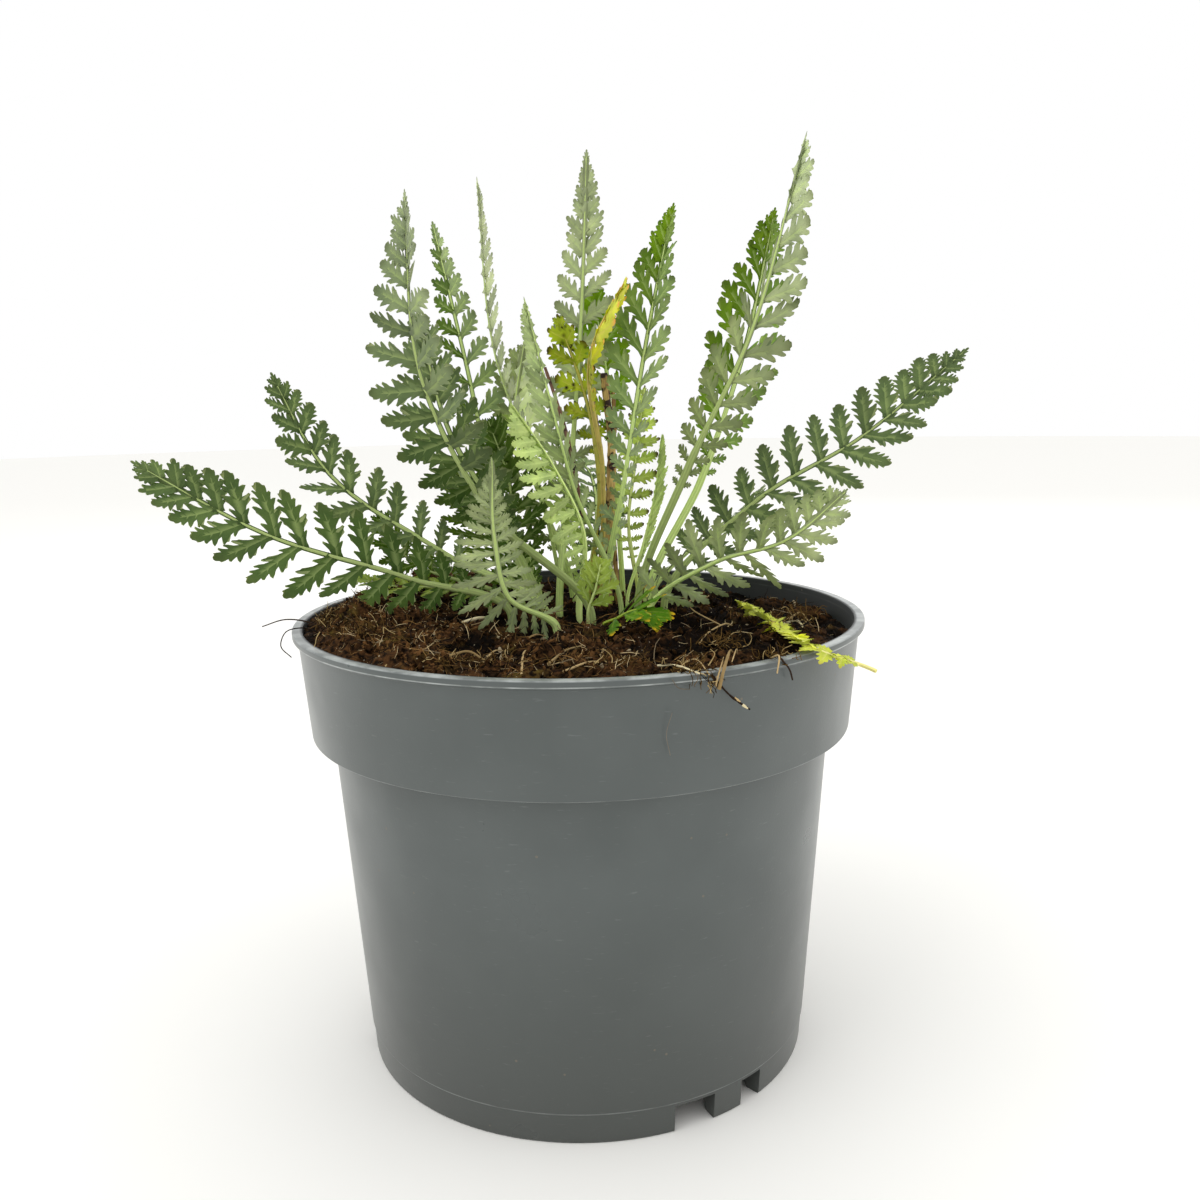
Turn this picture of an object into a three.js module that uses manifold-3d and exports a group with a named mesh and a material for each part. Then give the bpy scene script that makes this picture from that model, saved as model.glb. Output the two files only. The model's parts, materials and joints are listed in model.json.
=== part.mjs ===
// Potted yarrow: a young clump of divided leaves in a round grey nursery pot.
// Millimetres, +Z up. The origin is the middle of the pot's underside, at the level it stands on.
// The front of the plant, as it is usually looked at, is -Y; +X is to its right.

import * as THREE from 'three';
import { mergeVertices } from 'three/addons/utils/BufferGeometryUtils.js';
import Module from 'manifold-3d';

const wasm = await Module();
wasm.setup();

// Driving sizes

const GAP = 0.3; // clearance between pieces that touch
const POT_HEIGHT = 132.5;
const POT_SIDES = 48;
const WALL = 1.5; // moulded wall
const RIM_RADIUS = 85; // outside of the lip
const LIP_HEIGHT = 1.9;
const LIP_DEPTH = 1.5; // how far the lip stands out from the collar
const COLLAR_BOTTOM = 101; // height of the collar's lower edge
const COLLAR_RADIUS = 81; // outside of the collar at that edge
const LEDGE = COLLAR_BOTTOM + 2.4; // inside of the step under the collar
const BODY_TOP_RADIUS = 75.2;
const FOOT_RADIUS = 67.6;
const FOOT_HEIGHT = 9; // height of the faint line round the foot
const INNER_FOOT_RADIUS = 65.5;
const FLOOR = 1.8; // thickness of the floor
const FLOOR_DISC = 44; // middle of the floor, which the pot stands on
const DRAIN_RISE = 4.5; // height of the drain channel round the floor
const DRAIN_OUTER = 61.5;
const NOTCH_HEIGHT = 8; // drain notches in the foot
const NOTCH_GROUPS = 3;
const NOTCHES = [ // angle from the front in degrees, width in mm
  { angle: 26, width: 12.5 },
  { angle: 43, width: 8 },
];

const SOIL_SECTORS = 32;
const SOIL_RINGS = [12, 26, 40, 54, 66, 76];
const SOIL_LEVEL = 131;
const SOIL_EDGE = 81.8; // outside of the soil at its upper edge
const SOIL_SINK = 5; // how much lower the soil lies at the back right
const SOIL_HEAP = 4.5; // how much it is heaped at the left

const CROWN_TOP = 121; // rootstock under the surface
const CROWN_BOTTOM = 112;
const CROWN_CENTRE = [3, 4];
const CROWN_RADIUS = 33;
const STALK_RISE = 1.2; // how far over the soil a stalk starts to bend
const SOIL_HOLE_TOP = 150;

const BLADE = 0.7; // thickness of a leaflet
const LEAFLET_FILL = 0.68; // width of a leaflet as a share of the room it has
const PETIOLE_STEPS = 5;

// Small maths helpers

const rad = THREE.MathUtils.degToRad;
const lerp = THREE.MathUtils.lerp;
const vec = (x, y, z) => new THREE.Vector3(x, y, z);

// A direction from a bearing (0 = front, 90 = right, 180 = back) and an elevation, in degrees.
function direction(bearing, elevation) {
  const flat = Math.cos(rad(elevation));
  return vec(Math.sin(rad(bearing)) * flat, -Math.cos(rad(bearing)) * flat, Math.sin(rad(elevation)));
}

// Geometry from a list of points and a list of index triples.
function meshFrom(points, triangles) {
  const geometry = new THREE.BufferGeometry();
  const numbers = points.flatMap((p) => [p.x, p.y, p.z]);
  geometry.setAttribute('position', new THREE.Float32BufferAttribute(numbers, 3));
  geometry.setIndex(triangles.flat());
  return geometry;
}

function toSolid(geometry) {
  const bare = geometry.clone();
  bare.deleteAttribute('normal');
  bare.deleteAttribute('uv');
  const merged = mergeVertices(bare, 1e-4);
  return new wasm.Manifold(new wasm.Mesh({
    numProp: 3,
    vertProperties: new Float32Array(merged.attributes.position.array),
    triVerts: new Uint32Array(merged.index.array),
  }));
}

function fromSolid(solid) {
  const mesh = solid.getMesh();
  const geometry = new THREE.BufferGeometry();
  geometry.setAttribute('position', new THREE.BufferAttribute(new Float32Array(mesh.vertProperties), 3));
  geometry.setIndex(new THREE.BufferAttribute(new Uint32Array(mesh.triVerts), 1));
  return geometry;
}

// A solid of turned rows: row(angle) gives radius and height, and the ends lie on the axis.
function turnedSolid(rows, sectors, centre = [0, 0]) {
  const points = [];
  const triangles = [];
  const last = rows.length - 1;
  const at = (row, sector) => {
    if (row === 0) return 0;
    if (row === last) return 1 + (last - 1) * sectors;
    return 1 + (row - 1) * sectors + (sector % sectors);
  };
  for (let row = 0; row <= last; row++) {
    const count = row === 0 || row === last ? 1 : sectors;
    for (let sector = 0; sector < count; sector++) {
      const angle = (2 * Math.PI * sector) / sectors;
      const [radius, height] = rows[row](angle);
      points.push(vec(centre[0] + radius * Math.cos(angle), centre[1] + radius * Math.sin(angle), height));
    }
  }
  for (let row = 0; row < last; row++) {
    for (let sector = 0; sector < sectors; sector++) {
      const a = at(row, sector);
      const b = at(row, sector + 1);
      const c = at(row + 1, sector + 1);
      const d = at(row + 1, sector);
      if (row < last - 1) triangles.push([a, d, c]);
      if (row > 0) triangles.push([a, c, b]);
    }
  }
  return meshFrom(points, triangles);
}

// A smooth path through points: chord-length Hermite, with a given start direction.
function smoothPath(points, startTangent, steps = 24) {
  const chords = points.slice(1).map((p, i) => p.distanceTo(points[i]));
  const slopes = points.map((p, i) => {
    if (i === 0) return startTangent.clone();
    const before = p.clone().sub(points[i - 1]).divideScalar(chords[i - 1]);
    if (i === points.length - 1) return before;
    const after = points[i + 1].clone().sub(p).divideScalar(chords[i]);
    const weight = chords[i] / (chords[i - 1] + chords[i]);
    return before.multiplyScalar(weight).add(after.multiplyScalar(1 - weight));
  });
  const path = [points[0].clone()];
  for (let i = 0; i < chords.length; i++) {
    for (let step = 1; step <= steps; step++) {
      const t = step / steps;
      const point = points[i].clone().multiplyScalar((1 + 2 * t) * (1 - t) ** 2);
      point.addScaledVector(slopes[i], chords[i] * t * (1 - t) ** 2);
      point.addScaledVector(points[i + 1], t * t * (3 - 2 * t));
      point.addScaledVector(slopes[i + 1], chords[i] * t * t * (t - 1));
      path.push(point);
    }
  }
  return path;
}

// Position and tangent at a distance along a path; beyond its end it runs straight on.
class Track {
  constructor(path) {
    this.path = path;
    this.along = [0];
    for (let i = 1; i < path.length; i++) {
      this.along.push(this.along[i - 1] + path[i].distanceTo(path[i - 1]));
    }
    this.length = this.along[this.along.length - 1];
  }

  at(distance) {
    let i = 1;
    while (i < this.path.length - 1 && this.along[i] < distance) i++;
    const a = this.path[i - 1];
    const b = this.path[i];
    const tangent = b.clone().sub(a).normalize();
    const point = a.clone().addScaledVector(tangent, distance - this.along[i - 1]);
    return { point, tangent };
  }
}

// Soil surface

function soilHeight(x, y) {
  const radius = Math.hypot(x, y);
  const edge = THREE.MathUtils.smoothstep(radius, 60, SOIL_EDGE);
  const backRight = THREE.MathUtils.smoothstep(0.7 * x + 0.7 * y, 10, 60);
  const left = THREE.MathUtils.smoothstep(-x + 0.25 * y, 15, 60);
  const lumps = 0.9 * Math.sin(0.21 * x + 1.1) * Math.cos(0.19 * y) + 0.5 * Math.sin(0.43 * y - 0.31 * x);
  return SOIL_LEVEL - SOIL_SINK * backRight + SOIL_HEAP * left * (1 - edge) + lumps * (1 - 0.6 * edge);
}

// Pot

function collarOuter(height) {
  const t = (height - COLLAR_BOTTOM) / (POT_HEIGHT - COLLAR_BOTTOM);
  return lerp(COLLAR_RADIUS, RIM_RADIUS - LIP_DEPTH, t);
}

function potGeometry() {
  const lipBottom = POT_HEIGHT - LIP_HEIGHT;
  const profile = [
    [0, 0],
    [FLOOR_DISC, 0],
    [FLOOR_DISC + 2, DRAIN_RISE],
    [DRAIN_OUTER, DRAIN_RISE],
    [DRAIN_OUTER + 1.5, 0],
    [FOOT_RADIUS, 0],
    [FOOT_RADIUS + 0.8, FOOT_HEIGHT],
    [BODY_TOP_RADIUS, COLLAR_BOTTOM + 0.8],
    [COLLAR_RADIUS, COLLAR_BOTTOM],
    [collarOuter(lipBottom - 0.8), lipBottom - 0.8],
    [RIM_RADIUS, lipBottom],
    [RIM_RADIUS, POT_HEIGHT],
    [collarOuter(POT_HEIGHT) - WALL, POT_HEIGHT],
    [COLLAR_RADIUS - WALL, LEDGE + 0.8],
    [BODY_TOP_RADIUS - WALL, LEDGE],
    [INNER_FOOT_RADIUS, DRAIN_RISE + FLOOR],
    [FLOOR_DISC - 0.5, DRAIN_RISE + FLOOR],
    [FLOOR_DISC - 2.5, FLOOR],
    [0, FLOOR],
  ].map(([r, z]) => new THREE.Vector2(r, z));
  const lathe = new THREE.LatheGeometry(profile, POT_SIDES);
  lathe.rotateX(Math.PI / 2);
  let pot = toSolid(lathe);
  for (let group = 0; group < NOTCH_GROUPS; group++) {
    for (const notch of NOTCHES) {
      const cutter = new THREE.BoxGeometry(notch.width, 14, NOTCH_HEIGHT + 4);
      cutter.translate(0, -FOOT_RADIUS, (NOTCH_HEIGHT - 4) / 2);
      cutter.rotateZ(rad(notch.angle + (360 / NOTCH_GROUPS) * group));
      pot = pot.subtract(toSolid(cutter));
    }
  }
  return fromSolid(pot);
}

// Leaves

// What a leaf's blade is cut into. Each outline runs round a leaflet from its near to its far side:
// distance along the leaflet as a part of its length, and offset as a part of its width.
const CUT = {
  deep: [[0.22, -0.3], [0.6, -0.5], [1, 0], [0.7, 0.5], [0.34, 0.26]],
  plain: [[0.55, -0.5], [1, 0], [0.62, 0.5]],
  slim: [[0.72, -0.42], [1, 0.2]],
};
const TIP_CUT = [[0.5, 0.3], [1, 0], [0.5, -0.3]]; // both as parts of the end leaflet's length

// kind: colour family. root: where the stalk leaves the rootstock, seen from above.
// path: the midrib about one third and two thirds of the way up, and at its tip.
// face: bearing and elevation that the upper side looks towards. turn: how far it twists up to the tip.
// half: length of the longest leaflets. stalk: part of the length with no leaflets.
// pairs: leaflets on each side. fold: how far each half is raised. cut: outline of the leaflets.
const LEAVES = [
  { name: 'leaf_left_low', kind: 'green', root: [-20, -8],
    path: [[-49, -14, 146], [-87, -20, 160], [-123, -24, 182]],
    face: [0, 35], turn: 0, half: 18, stalk: 0.24, pairs: 12, fold: 12, cut: 'deep' },
  { name: 'leaf_left_mid', kind: 'green', root: [-9, -12],
    path: [[-40, 0, 151], [-76, 8, 176], [-93, 14, 206]],
    face: [5, 40], turn: 0, half: 14, stalk: 0.33, pairs: 11, fold: 18, cut: 'plain' },
  { name: 'leaf_left_inner', kind: 'olive', root: [-22, 7],
    path: [[-51, 14, 146], [-58, 15, 152], [-63, 17, 163]],
    face: [0, 30], turn: 0, half: 9, stalk: 0.45, pairs: 7, fold: 15, cut: 'slim' },
  { name: 'leaf_left_olive', kind: 'olive', root: [-18, 11],
    path: [[-25, 16, 147], [-31, 18, 160], [-38, 20, 175]],
    face: [0, 15], turn: 0, half: 14, stalk: 0.35, pairs: 7, fold: 10, cut: 'plain' },
  { name: 'leaf_front_left_tall', kind: 'green', root: [4, -11],
    path: [[-24, -20, 165], [-41, -26, 203], [-43, -28, 252]],
    face: [0, 15], turn: 0, half: 17, stalk: 0.38, pairs: 12, fold: 14, cut: 'deep' },
  { name: 'leaf_left_second', kind: 'green', root: [-13, -5],
    path: [[-23, -2, 161], [-37, 0, 187], [-46, 4, 223]],
    face: [-10, 20], turn: 0, half: 14, stalk: 0.36, pairs: 10, fold: 12, cut: 'plain' },
  { name: 'leaf_back_left_tall', kind: 'green', root: [-13, 20],
    path: [[-27, 30, 168], [-36, 40, 209], [-46, 48, 254]],
    face: [15, 25], turn: 0, half: 12, stalk: 0.34, pairs: 11, fold: 14, cut: 'plain' },
  { name: 'leaf_thin_grey', kind: 'grey', root: [-6, 15],
    path: [[-14, 22, 176], [-25, 29, 209], [-30, 38, 266]],
    face: [115, 15], turn: 0, half: 9, stalk: 0.42, pairs: 10, fold: 30, cut: 'slim' },
  { name: 'leaf_folded_grey', kind: 'grey', root: [13, 5],
    path: [[-1, 0, 171], [-7, -4, 196], [-14, 0, 226]],
    face: [170, 10], turn: 90, half: 13, stalk: 0.3, pairs: 10, fold: 24, cut: 'plain' },
  { name: 'leaf_broad_grey', kind: 'grey', root: [-2, 22],
    path: [[-13, 30, 167], [-20, 38, 190], [-17, 46, 215]],
    face: [175, 20], turn: 0, half: 13, stalk: 0.32, pairs: 8, fold: 10, cut: 'plain' },
  { name: 'leaf_centre_tall', kind: 'grey', root: [-6, 0],
    path: [[-2, 22, 174], [2, 34, 219], [5, 46, 275]],
    face: [165, 12], turn: 0, half: 12, stalk: 0.38, pairs: 12, fold: 18, cut: 'plain' },
  { name: 'leaf_spotted', kind: 'yellow', root: [3, 18],
    path: [[7, 19, 171], [4, 21, 193], [-5, 17, 222]],
    face: [-30, 30], turn: 0, half: 8, stalk: 0.55, pairs: 5, fold: 20, cut: 'slim' },
  { name: 'leaf_yellow_bent', kind: 'yellow', root: [7, 16],
    path: [[8, 12, 175], [5, 9, 210], [16, 3, 231]],
    face: [80, 10], turn: 0, half: 8, stalk: 0.55, pairs: 6, fold: 35, cut: 'slim' },
  { name: 'leaf_olive_back', kind: 'olive', root: [14, 28],
    path: [[12, 34, 170], [9, 40, 213], [5, 46, 233]],
    face: [0, 15], turn: 0, half: 9, stalk: 0.52, pairs: 6, fold: 12, cut: 'slim' },
  { name: 'leaf_centre_right', kind: 'green', root: [8, 12],
    path: [[14.5, 3, 172], [22, 8, 214], [31, 18, 254]],
    face: [-45, 20], turn: 0, half: 11, stalk: 0.32, pairs: 12, fold: 30, cut: 'plain' },
  { name: 'leaf_right_tall', kind: 'green', root: [18, 5],
    path: [[33, -2, 175], [50, -10, 212], [65, -16, 267]],
    face: [0, 20], turn: 50, half: 16, stalk: 0.42, pairs: 12, fold: 16, cut: 'deep' },
  { name: 'leaf_right_second', kind: 'green', root: [21, 13],
    path: [[40, 28, 170], [56, 46, 211], [68, 60, 258]],
    face: [10, 15], turn: 0, half: 13, stalk: 0.48, pairs: 10, fold: 14, cut: 'plain' },
  { name: 'leaf_right_low', kind: 'green', root: [27, 19],
    path: [[56, 24, 162], [92, 32, 182], [128, 38, 210]],
    face: [-5, 40], turn: 0, half: 17, stalk: 0.16, pairs: 13, fold: 10, cut: 'deep' },
  { name: 'leaf_right_front', kind: 'grey', root: [21, -3],
    path: [[40, -14, 149], [59, -22, 156], [75, -30, 171]],
    face: [172, 30], turn: 0, half: 15, stalk: 0.16, pairs: 10, fold: 10, cut: 'deep' },
  { name: 'leaf_rolled', kind: 'young', root: [15, 12],
    path: [[20, 12, 150], [24, 16, 165], [27, 20, 185]],
    face: [90, 0], turn: 0, half: 6, stalk: 0.5, pairs: 5, fold: 50, cut: 'slim' },
  { name: 'leaf_front_young', kind: 'young', root: [0, -1],
    path: [[2, -10, 158], [-6, -18, 178], [-17, -25, 196]],
    face: [-85, 5], turn: 0, half: 14, stalk: 0.33, pairs: 11, fold: 42, cut: 'deep' },
  { name: 'leaf_front_grey', kind: 'grey', root: [-6, -24],
    path: [[-19, -31, 143], [-22, -33, 159], [-22, -34, 182]],
    face: [178, 8], turn: 0, half: 15, stalk: 0.35, pairs: 8, fold: 8, cut: 'deep' },
  { name: 'leaf_browning', kind: 'olive', root: [19, 20],
    path: [[16, 19, 157], [19, 23, 179], [22, 27, 200]],
    face: [10, 15], turn: 0, half: 7, stalk: 0.4, pairs: 6, fold: 12, cut: 'slim' },
  { name: 'leaf_dark_inner', kind: 'green', root: [-11, 3],
    path: [[-19, 9, 153], [-21, 11, 172], [-27, 13, 191]],
    face: [0, 15], turn: 0, half: 14, stalk: 0.34, pairs: 8, fold: 12, cut: 'plain' },
  { name: 'leaf_soil_left', kind: 'young', root: [-27, -1],
    path: [[-42, 2, 140], [-57, 3, 141], [-72, 5, 144]],
    face: [0, 75], turn: 0, half: 8, stalk: 0.34, pairs: 7, fold: 8, cut: 'slim' },
  { name: 'leaf_front_small', kind: 'young', root: [3, -20],
    path: [[3, -22, 137], [5, -23, 143], [7, -24, 152]],
    face: [0, 15], turn: 0, half: 7, stalk: 0.45, pairs: 3, fold: 10, cut: 'slim' },
  { name: 'leaf_front_yellowing', kind: 'yellow', root: [7, -24],
    path: [[11, -29, 136], [17, -33, 139], [23, -36, 136]],
    face: [0, 60], turn: 0, half: 7, stalk: 0.42, pairs: 4, fold: 8, cut: 'slim' },
  { name: 'leaf_back_left_low', kind: 'green', root: [-19, 16],
    path: [[-24, 44, 148], [-36, 72, 158], [-52, 98, 172]],
    face: [160, 50], turn: 0, half: 14, stalk: 0.2, pairs: 10, fold: 12, cut: 'plain' },
  { name: 'leaf_back_low', kind: 'green', root: [3, 30],
    path: [[6, 54, 156], [4, 80, 168], [-4, 106, 176]],
    face: [180, 50], turn: 0, half: 14, stalk: 0.22, pairs: 10, fold: 12, cut: 'plain' },
  { name: 'leaf_back_right_low', kind: 'green', root: [23, 29],
    path: [[38, 48, 144], [56, 70, 150], [70, 94, 162]],
    face: [-170, 55], turn: 0, half: 13, stalk: 0.2, pairs: 10, fold: 12, cut: 'plain' },
];

// Height at which a stalk has left the soil and starts to bend.
const stalkBend = ([x, y]) => soilHeight(x, y) + STALK_RISE;

// The midrib: a straight foot up out of the rootstock, then a smooth bend through the path.
function leafTrack(leaf) {
  const [x, y] = leaf.root;
  const bottom = vec(x, y, CROWN_TOP + GAP);
  const top = vec(x, y, stalkBend(leaf.root));
  const bend = smoothPath([top, ...leaf.path.map((p) => vec(...p))], vec(0, 0, 0.8));
  return new Track([bottom, ...bend]);
}

// Places points of a leaf: u runs along the midrib, v across it, w is the height over the blade.
class LeafFrame {
  constructor(leaf, track) {
    this.track = track;
    this.face = direction(...leaf.face);
    this.fold = rad(leaf.fold);
    this.turn = rad(leaf.turn);
  }

  place(u, v, w) {
    const { point, tangent } = this.track.at(u);
    const normal = this.face.clone().addScaledVector(tangent, -this.face.dot(tangent)).normalize();
    normal.applyAxisAngle(tangent, this.turn * Math.min(1, u / this.track.length));
    const across = normal.clone().cross(tangent);
    const side = Math.sign(v);
    const lift = Math.abs(v) * Math.sin(this.fold);
    const bladeNormal = normal.clone().multiplyScalar(Math.cos(this.fold));
    bladeNormal.addScaledVector(across, -side * Math.sin(this.fold));
    return point
      .addScaledVector(across, v * Math.cos(this.fold))
      .addScaledVector(normal, lift)
      .addScaledVector(side === 0 ? normal : bladeNormal, w);
  }
}

// Length of the leaflets at a part q of the blade, as a share of the longest.
function leafletShare(q) {
  return 0.2 + 0.8 * Math.sin(Math.PI * (0.12 + 0.84 * q)) ** 0.9 - 0.05 * q;
}

// The solid of one leaf. footEnd is the distance along the midrib at which the stalk starts to bend.
function leafGeometry(leaf, track, footEnd) {
  const frame = new LeafFrame(leaf, track);
  const length = track.length;
  const bladeStart = length * leaf.stalk;
  const stalkRadius = lerp(0.9, 1.9, THREE.MathUtils.smoothstep(leaf.half, 6, 16));
  const points = [];
  const triangles = [];

  // Stations along the midrib: the stalk, then one between each two pairs of leaflets.
  const stations = [0, footEnd];
  for (let i = 1; i <= PETIOLE_STEPS; i++) stations.push(lerp(footEnd, bladeStart, i / PETIOLE_STEPS));
  const firstBlade = stations.length - 1;
  for (let i = 1; i <= leaf.pairs; i++) stations.push(lerp(bladeStart, length, i / (leaf.pairs + 1.1)));

  // Six points round the midrib at each station, in order round it.
  const ribs = [];
  const rings = stations.map((u, i) => {
    const q = THREE.MathUtils.clamp((u - bladeStart) / (length - bladeStart), 0, 1);
    const radius = lerp(stalkRadius, 0.55, q ** 0.7);
    const edge = i < firstBlade ? radius * 0.5 : BLADE / 2;
    const wide = i < firstBlade ? radius * 0.87 : radius;
    ribs.push(wide);
    const first = points.length;
    points.push(
      frame.place(u, wide, edge),
      frame.place(u, 0, i < firstBlade ? radius : Math.max(0.62, radius * 0.7)),
      frame.place(u, -wide, edge),
      frame.place(u, -wide, -edge),
      frame.place(u, 0, -Math.max(0.62, radius)),
      frame.place(u, wide, -edge),
    );
    return [0, 1, 2, 3, 4, 5].map((k) => first + k);
  });

  const quad = (a, b, c, d) => triangles.push([a, b, c], [a, c, d]);
  const joinRings = (near, far, skipSides) => {
    for (let k = 0; k < 6; k++) {
      if (skipSides && (k === 2 || k === 5)) continue;
      const next = (k + 1) % 6;
      quad(near[k], near[next], far[next], far[k]);
    }
  };

  // A thin plate on the outline's points, joined to the midrib along its first and last point.
  const plate = (topEnds, bottomEnds, outline, flip) => {
    const first = points.length;
    for (const [u, v] of outline) points.push(frame.place(u, v, BLADE / 2), frame.place(u, v, -BLADE / 2));
    const top = [topEnds[0], ...outline.map((_, i) => first + 2 * i), topEnds[1]];
    const bottom = [bottomEnds[0], ...outline.map((_, i) => first + 2 * i + 1), bottomEnds[1]];
    const push = (a, b, c) => triangles.push(flip ? [a, c, b] : [a, b, c]);
    let low = 0;
    let high = top.length - 1;
    let fromLow = true;
    while (high - low > 1) {
      const middle = fromLow ? low + 1 : high - 1;
      push(top[low], top[middle], top[high]);
      push(bottom[low], bottom[high], bottom[middle]);
      if (fromLow) low = middle;
      else high = middle;
      fromLow = !fromLow;
    }
    for (let i = 0; i < top.length - 1; i++) {
      push(top[i], bottom[i], bottom[i + 1]);
      push(top[i], bottom[i + 1], top[i + 1]);
    }
  };

  // The stalk's faces, and along the blade a leaflet on each side in place of the midrib's flanks.
  for (let i = 0; i < rings.length - 1; i++) {
    const isBlade = i >= firstBlade;
    joinRings(rings[i], rings[i + 1], isBlade);
    if (!isBlade) continue;
    const span = stations[i + 1] - stations[i];
    const q = (i - firstBlade + 0.5) / leaf.pairs;
    const reach = leaf.half * leafletShare(q);
    const angle = rad(lerp(72, 48, q));
    const width = span * Math.sin(angle) * LEAFLET_FILL;
    for (const side of [1, -1]) {
      const outline = CUT[leaf.cut].map(([s, w]) => {
        const along = s * reach;
        const offset = w * width;
        const u = stations[i] + span * 0.5 + along * Math.cos(angle) + offset * Math.sin(angle);
        const v = along * Math.sin(angle) - offset * Math.cos(angle);
        return [u, side * (v + ribs[i])];
      });
      const near = rings[i];
      const far = rings[i + 1];
      if (side > 0) plate([near[0], far[0]], [near[5], far[5]], outline, true);
      else plate([near[2], far[2]], [near[3], far[3]], outline, false);
    }
  }

  // The end leaflet closes the midrib, and the stalk's foot closes the other end.
  const end = rings[rings.length - 1];
  const lastSpan = length - stations[stations.length - 1];
  const tip = TIP_CUT.map(([s, w]) => [length - (1 - s) * lastSpan, w * lastSpan]);
  const first = points.length;
  for (const [u, v] of tip) points.push(frame.place(u, v, BLADE / 2), frame.place(u, v, -BLADE / 2));
  const rimTop = [end[0], first, first + 2, first + 4, end[2]];
  const rimBottom = [end[5], first + 1, first + 3, first + 5, end[3]];
  for (let i = 0; i < 4; i++) {
    triangles.push([end[1], rimTop[i + 1], rimTop[i]]);
    triangles.push([end[4], rimBottom[i], rimBottom[i + 1]]);
    triangles.push([rimTop[i], rimTop[i + 1], rimBottom[i + 1]]);
    triangles.push([rimTop[i], rimBottom[i + 1], rimBottom[i]]);
  }
  const foot = rings[0];
  for (let k = 1; k < 5; k++) triangles.push([foot[0], foot[k + 1], foot[k]]);
  return { geometry: meshFrom(points, triangles), stalkRadius };
}

// The withered leaf lies over the soil and the rim at the front right, its stalk end outside the pot.
const WITHERED = {
  path: [[78, -54, 125.6], [62, -62, 133.1], [57, -28, 132.1], [53, 6, 128.8]],
  face: [40, 70], turn: 0, half: 5, stalk: 0.25, pairs: 8, fold: 10, cut: 'slim',
};

// Old growth

const ROOTSTOCK_SIDES = 14;
const OLD_STEMS = [ // flower stems of last year, cut or broken off: radius at the foot and path
  { radius: 1.5, path: [[9, 22, 116], [9, 22, 133], [10, 20, 159], [11, 21, 181], [9, 22, 204]] },
  { radius: 0.9, path: [[12, 22, 116], [12, 22, 133], [11, 26, 174], [12, 27, 184], [12, 28, 198]] },
  { radius: 0.7, path: [[6, 26, 116], [6, 26, 133], [8, 23, 160], [8, 24, 177], [5, 26, 199]] },
];
const DRY_TWIG = {
  radius: 0.7,
  path: [[2, 11, 121.3], [2, 11, 135], [0, 12, 171], [-4, 13, 190], [-9, 14, 206]],
};

// A round rod along a path, thinner towards its top, with flat ends.
function rodGeometry({ radius, path }, sides, steps) {
  const corners = path.map((p) => vec(...p));
  const track = new Track([corners[0], ...smoothPath(corners.slice(1), vec(0, 0, 0.9), steps)]);
  const points = [];
  const triangles = [];
  const distances = [0, ...corners.slice(1).flatMap((_, i) => (
    i === 0 ? [track.along[1]] : [0.5, 1].map((t) => track.along[1 + Math.round((i - 1 + t) * steps)])))];
  distances.forEach((distance, i) => {
    const { point, tangent } = track.at(distance);
    const normal = vec(0, -1, 0).addScaledVector(tangent, tangent.y).normalize();
    const across = normal.clone().cross(tangent);
    const size = radius * lerp(1, 0.75, i / (distances.length - 1));
    for (let k = 0; k < sides; k++) {
      const angle = (2 * Math.PI * k) / sides;
      points.push(point.clone().addScaledVector(across, size * Math.cos(angle))
        .addScaledVector(normal, size * Math.sin(angle)));
    }
  });
  for (let i = 0; i < distances.length - 1; i++) {
    for (let k = 0; k < sides; k++) {
      const a = i * sides + k;
      const b = i * sides + ((k + 1) % sides);
      triangles.push([a, b, b + sides], [a, b + sides, a + sides]);
    }
  }
  const top = (distances.length - 1) * sides;
  for (let k = 1; k < sides - 1; k++) triangles.push([0, k + 1, k], [top, top + k, top + k + 1]);
  return meshFrom(points, triangles);
}

// The rootstock under the surface: a flat knobbly cake. spread widens it, for the hollow it fills.
function rootstockGeometry(spread) {
  const radius = (share) => (angle) => (
    CROWN_RADIUS * share * (1 + 0.05 * Math.sin(3 * angle) + 0.04 * Math.cos(5 * angle)) + spread);
  const rows = [
    () => [0, CROWN_TOP + spread],
    (angle) => [radius(0.95)(angle), CROWN_TOP + spread],
    (angle) => [radius(1)(angle), (CROWN_TOP + CROWN_BOTTOM) / 2],
    (angle) => [radius(0.7)(angle), CROWN_BOTTOM - spread],
    () => [0, CROWN_BOTTOM - spread],
  ];
  return turnedSolid(rows, ROOTSTOCK_SIDES, CROWN_CENTRE);
}

// A straight six-sided hole for a stalk of the given radius, with its clearance.
function holeGeometry([x, y], radius) {
  const clear = (radius + GAP) / Math.cos(Math.PI / 6);
  const bottom = CROWN_TOP - 1;
  const hole = new THREE.CylinderGeometry(clear, clear, SOIL_HOLE_TOP - bottom, 6);
  hole.rotateX(Math.PI / 2);
  hole.translate(x, y, (SOIL_HOLE_TOP + bottom) / 2);
  return hole;
}

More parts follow.
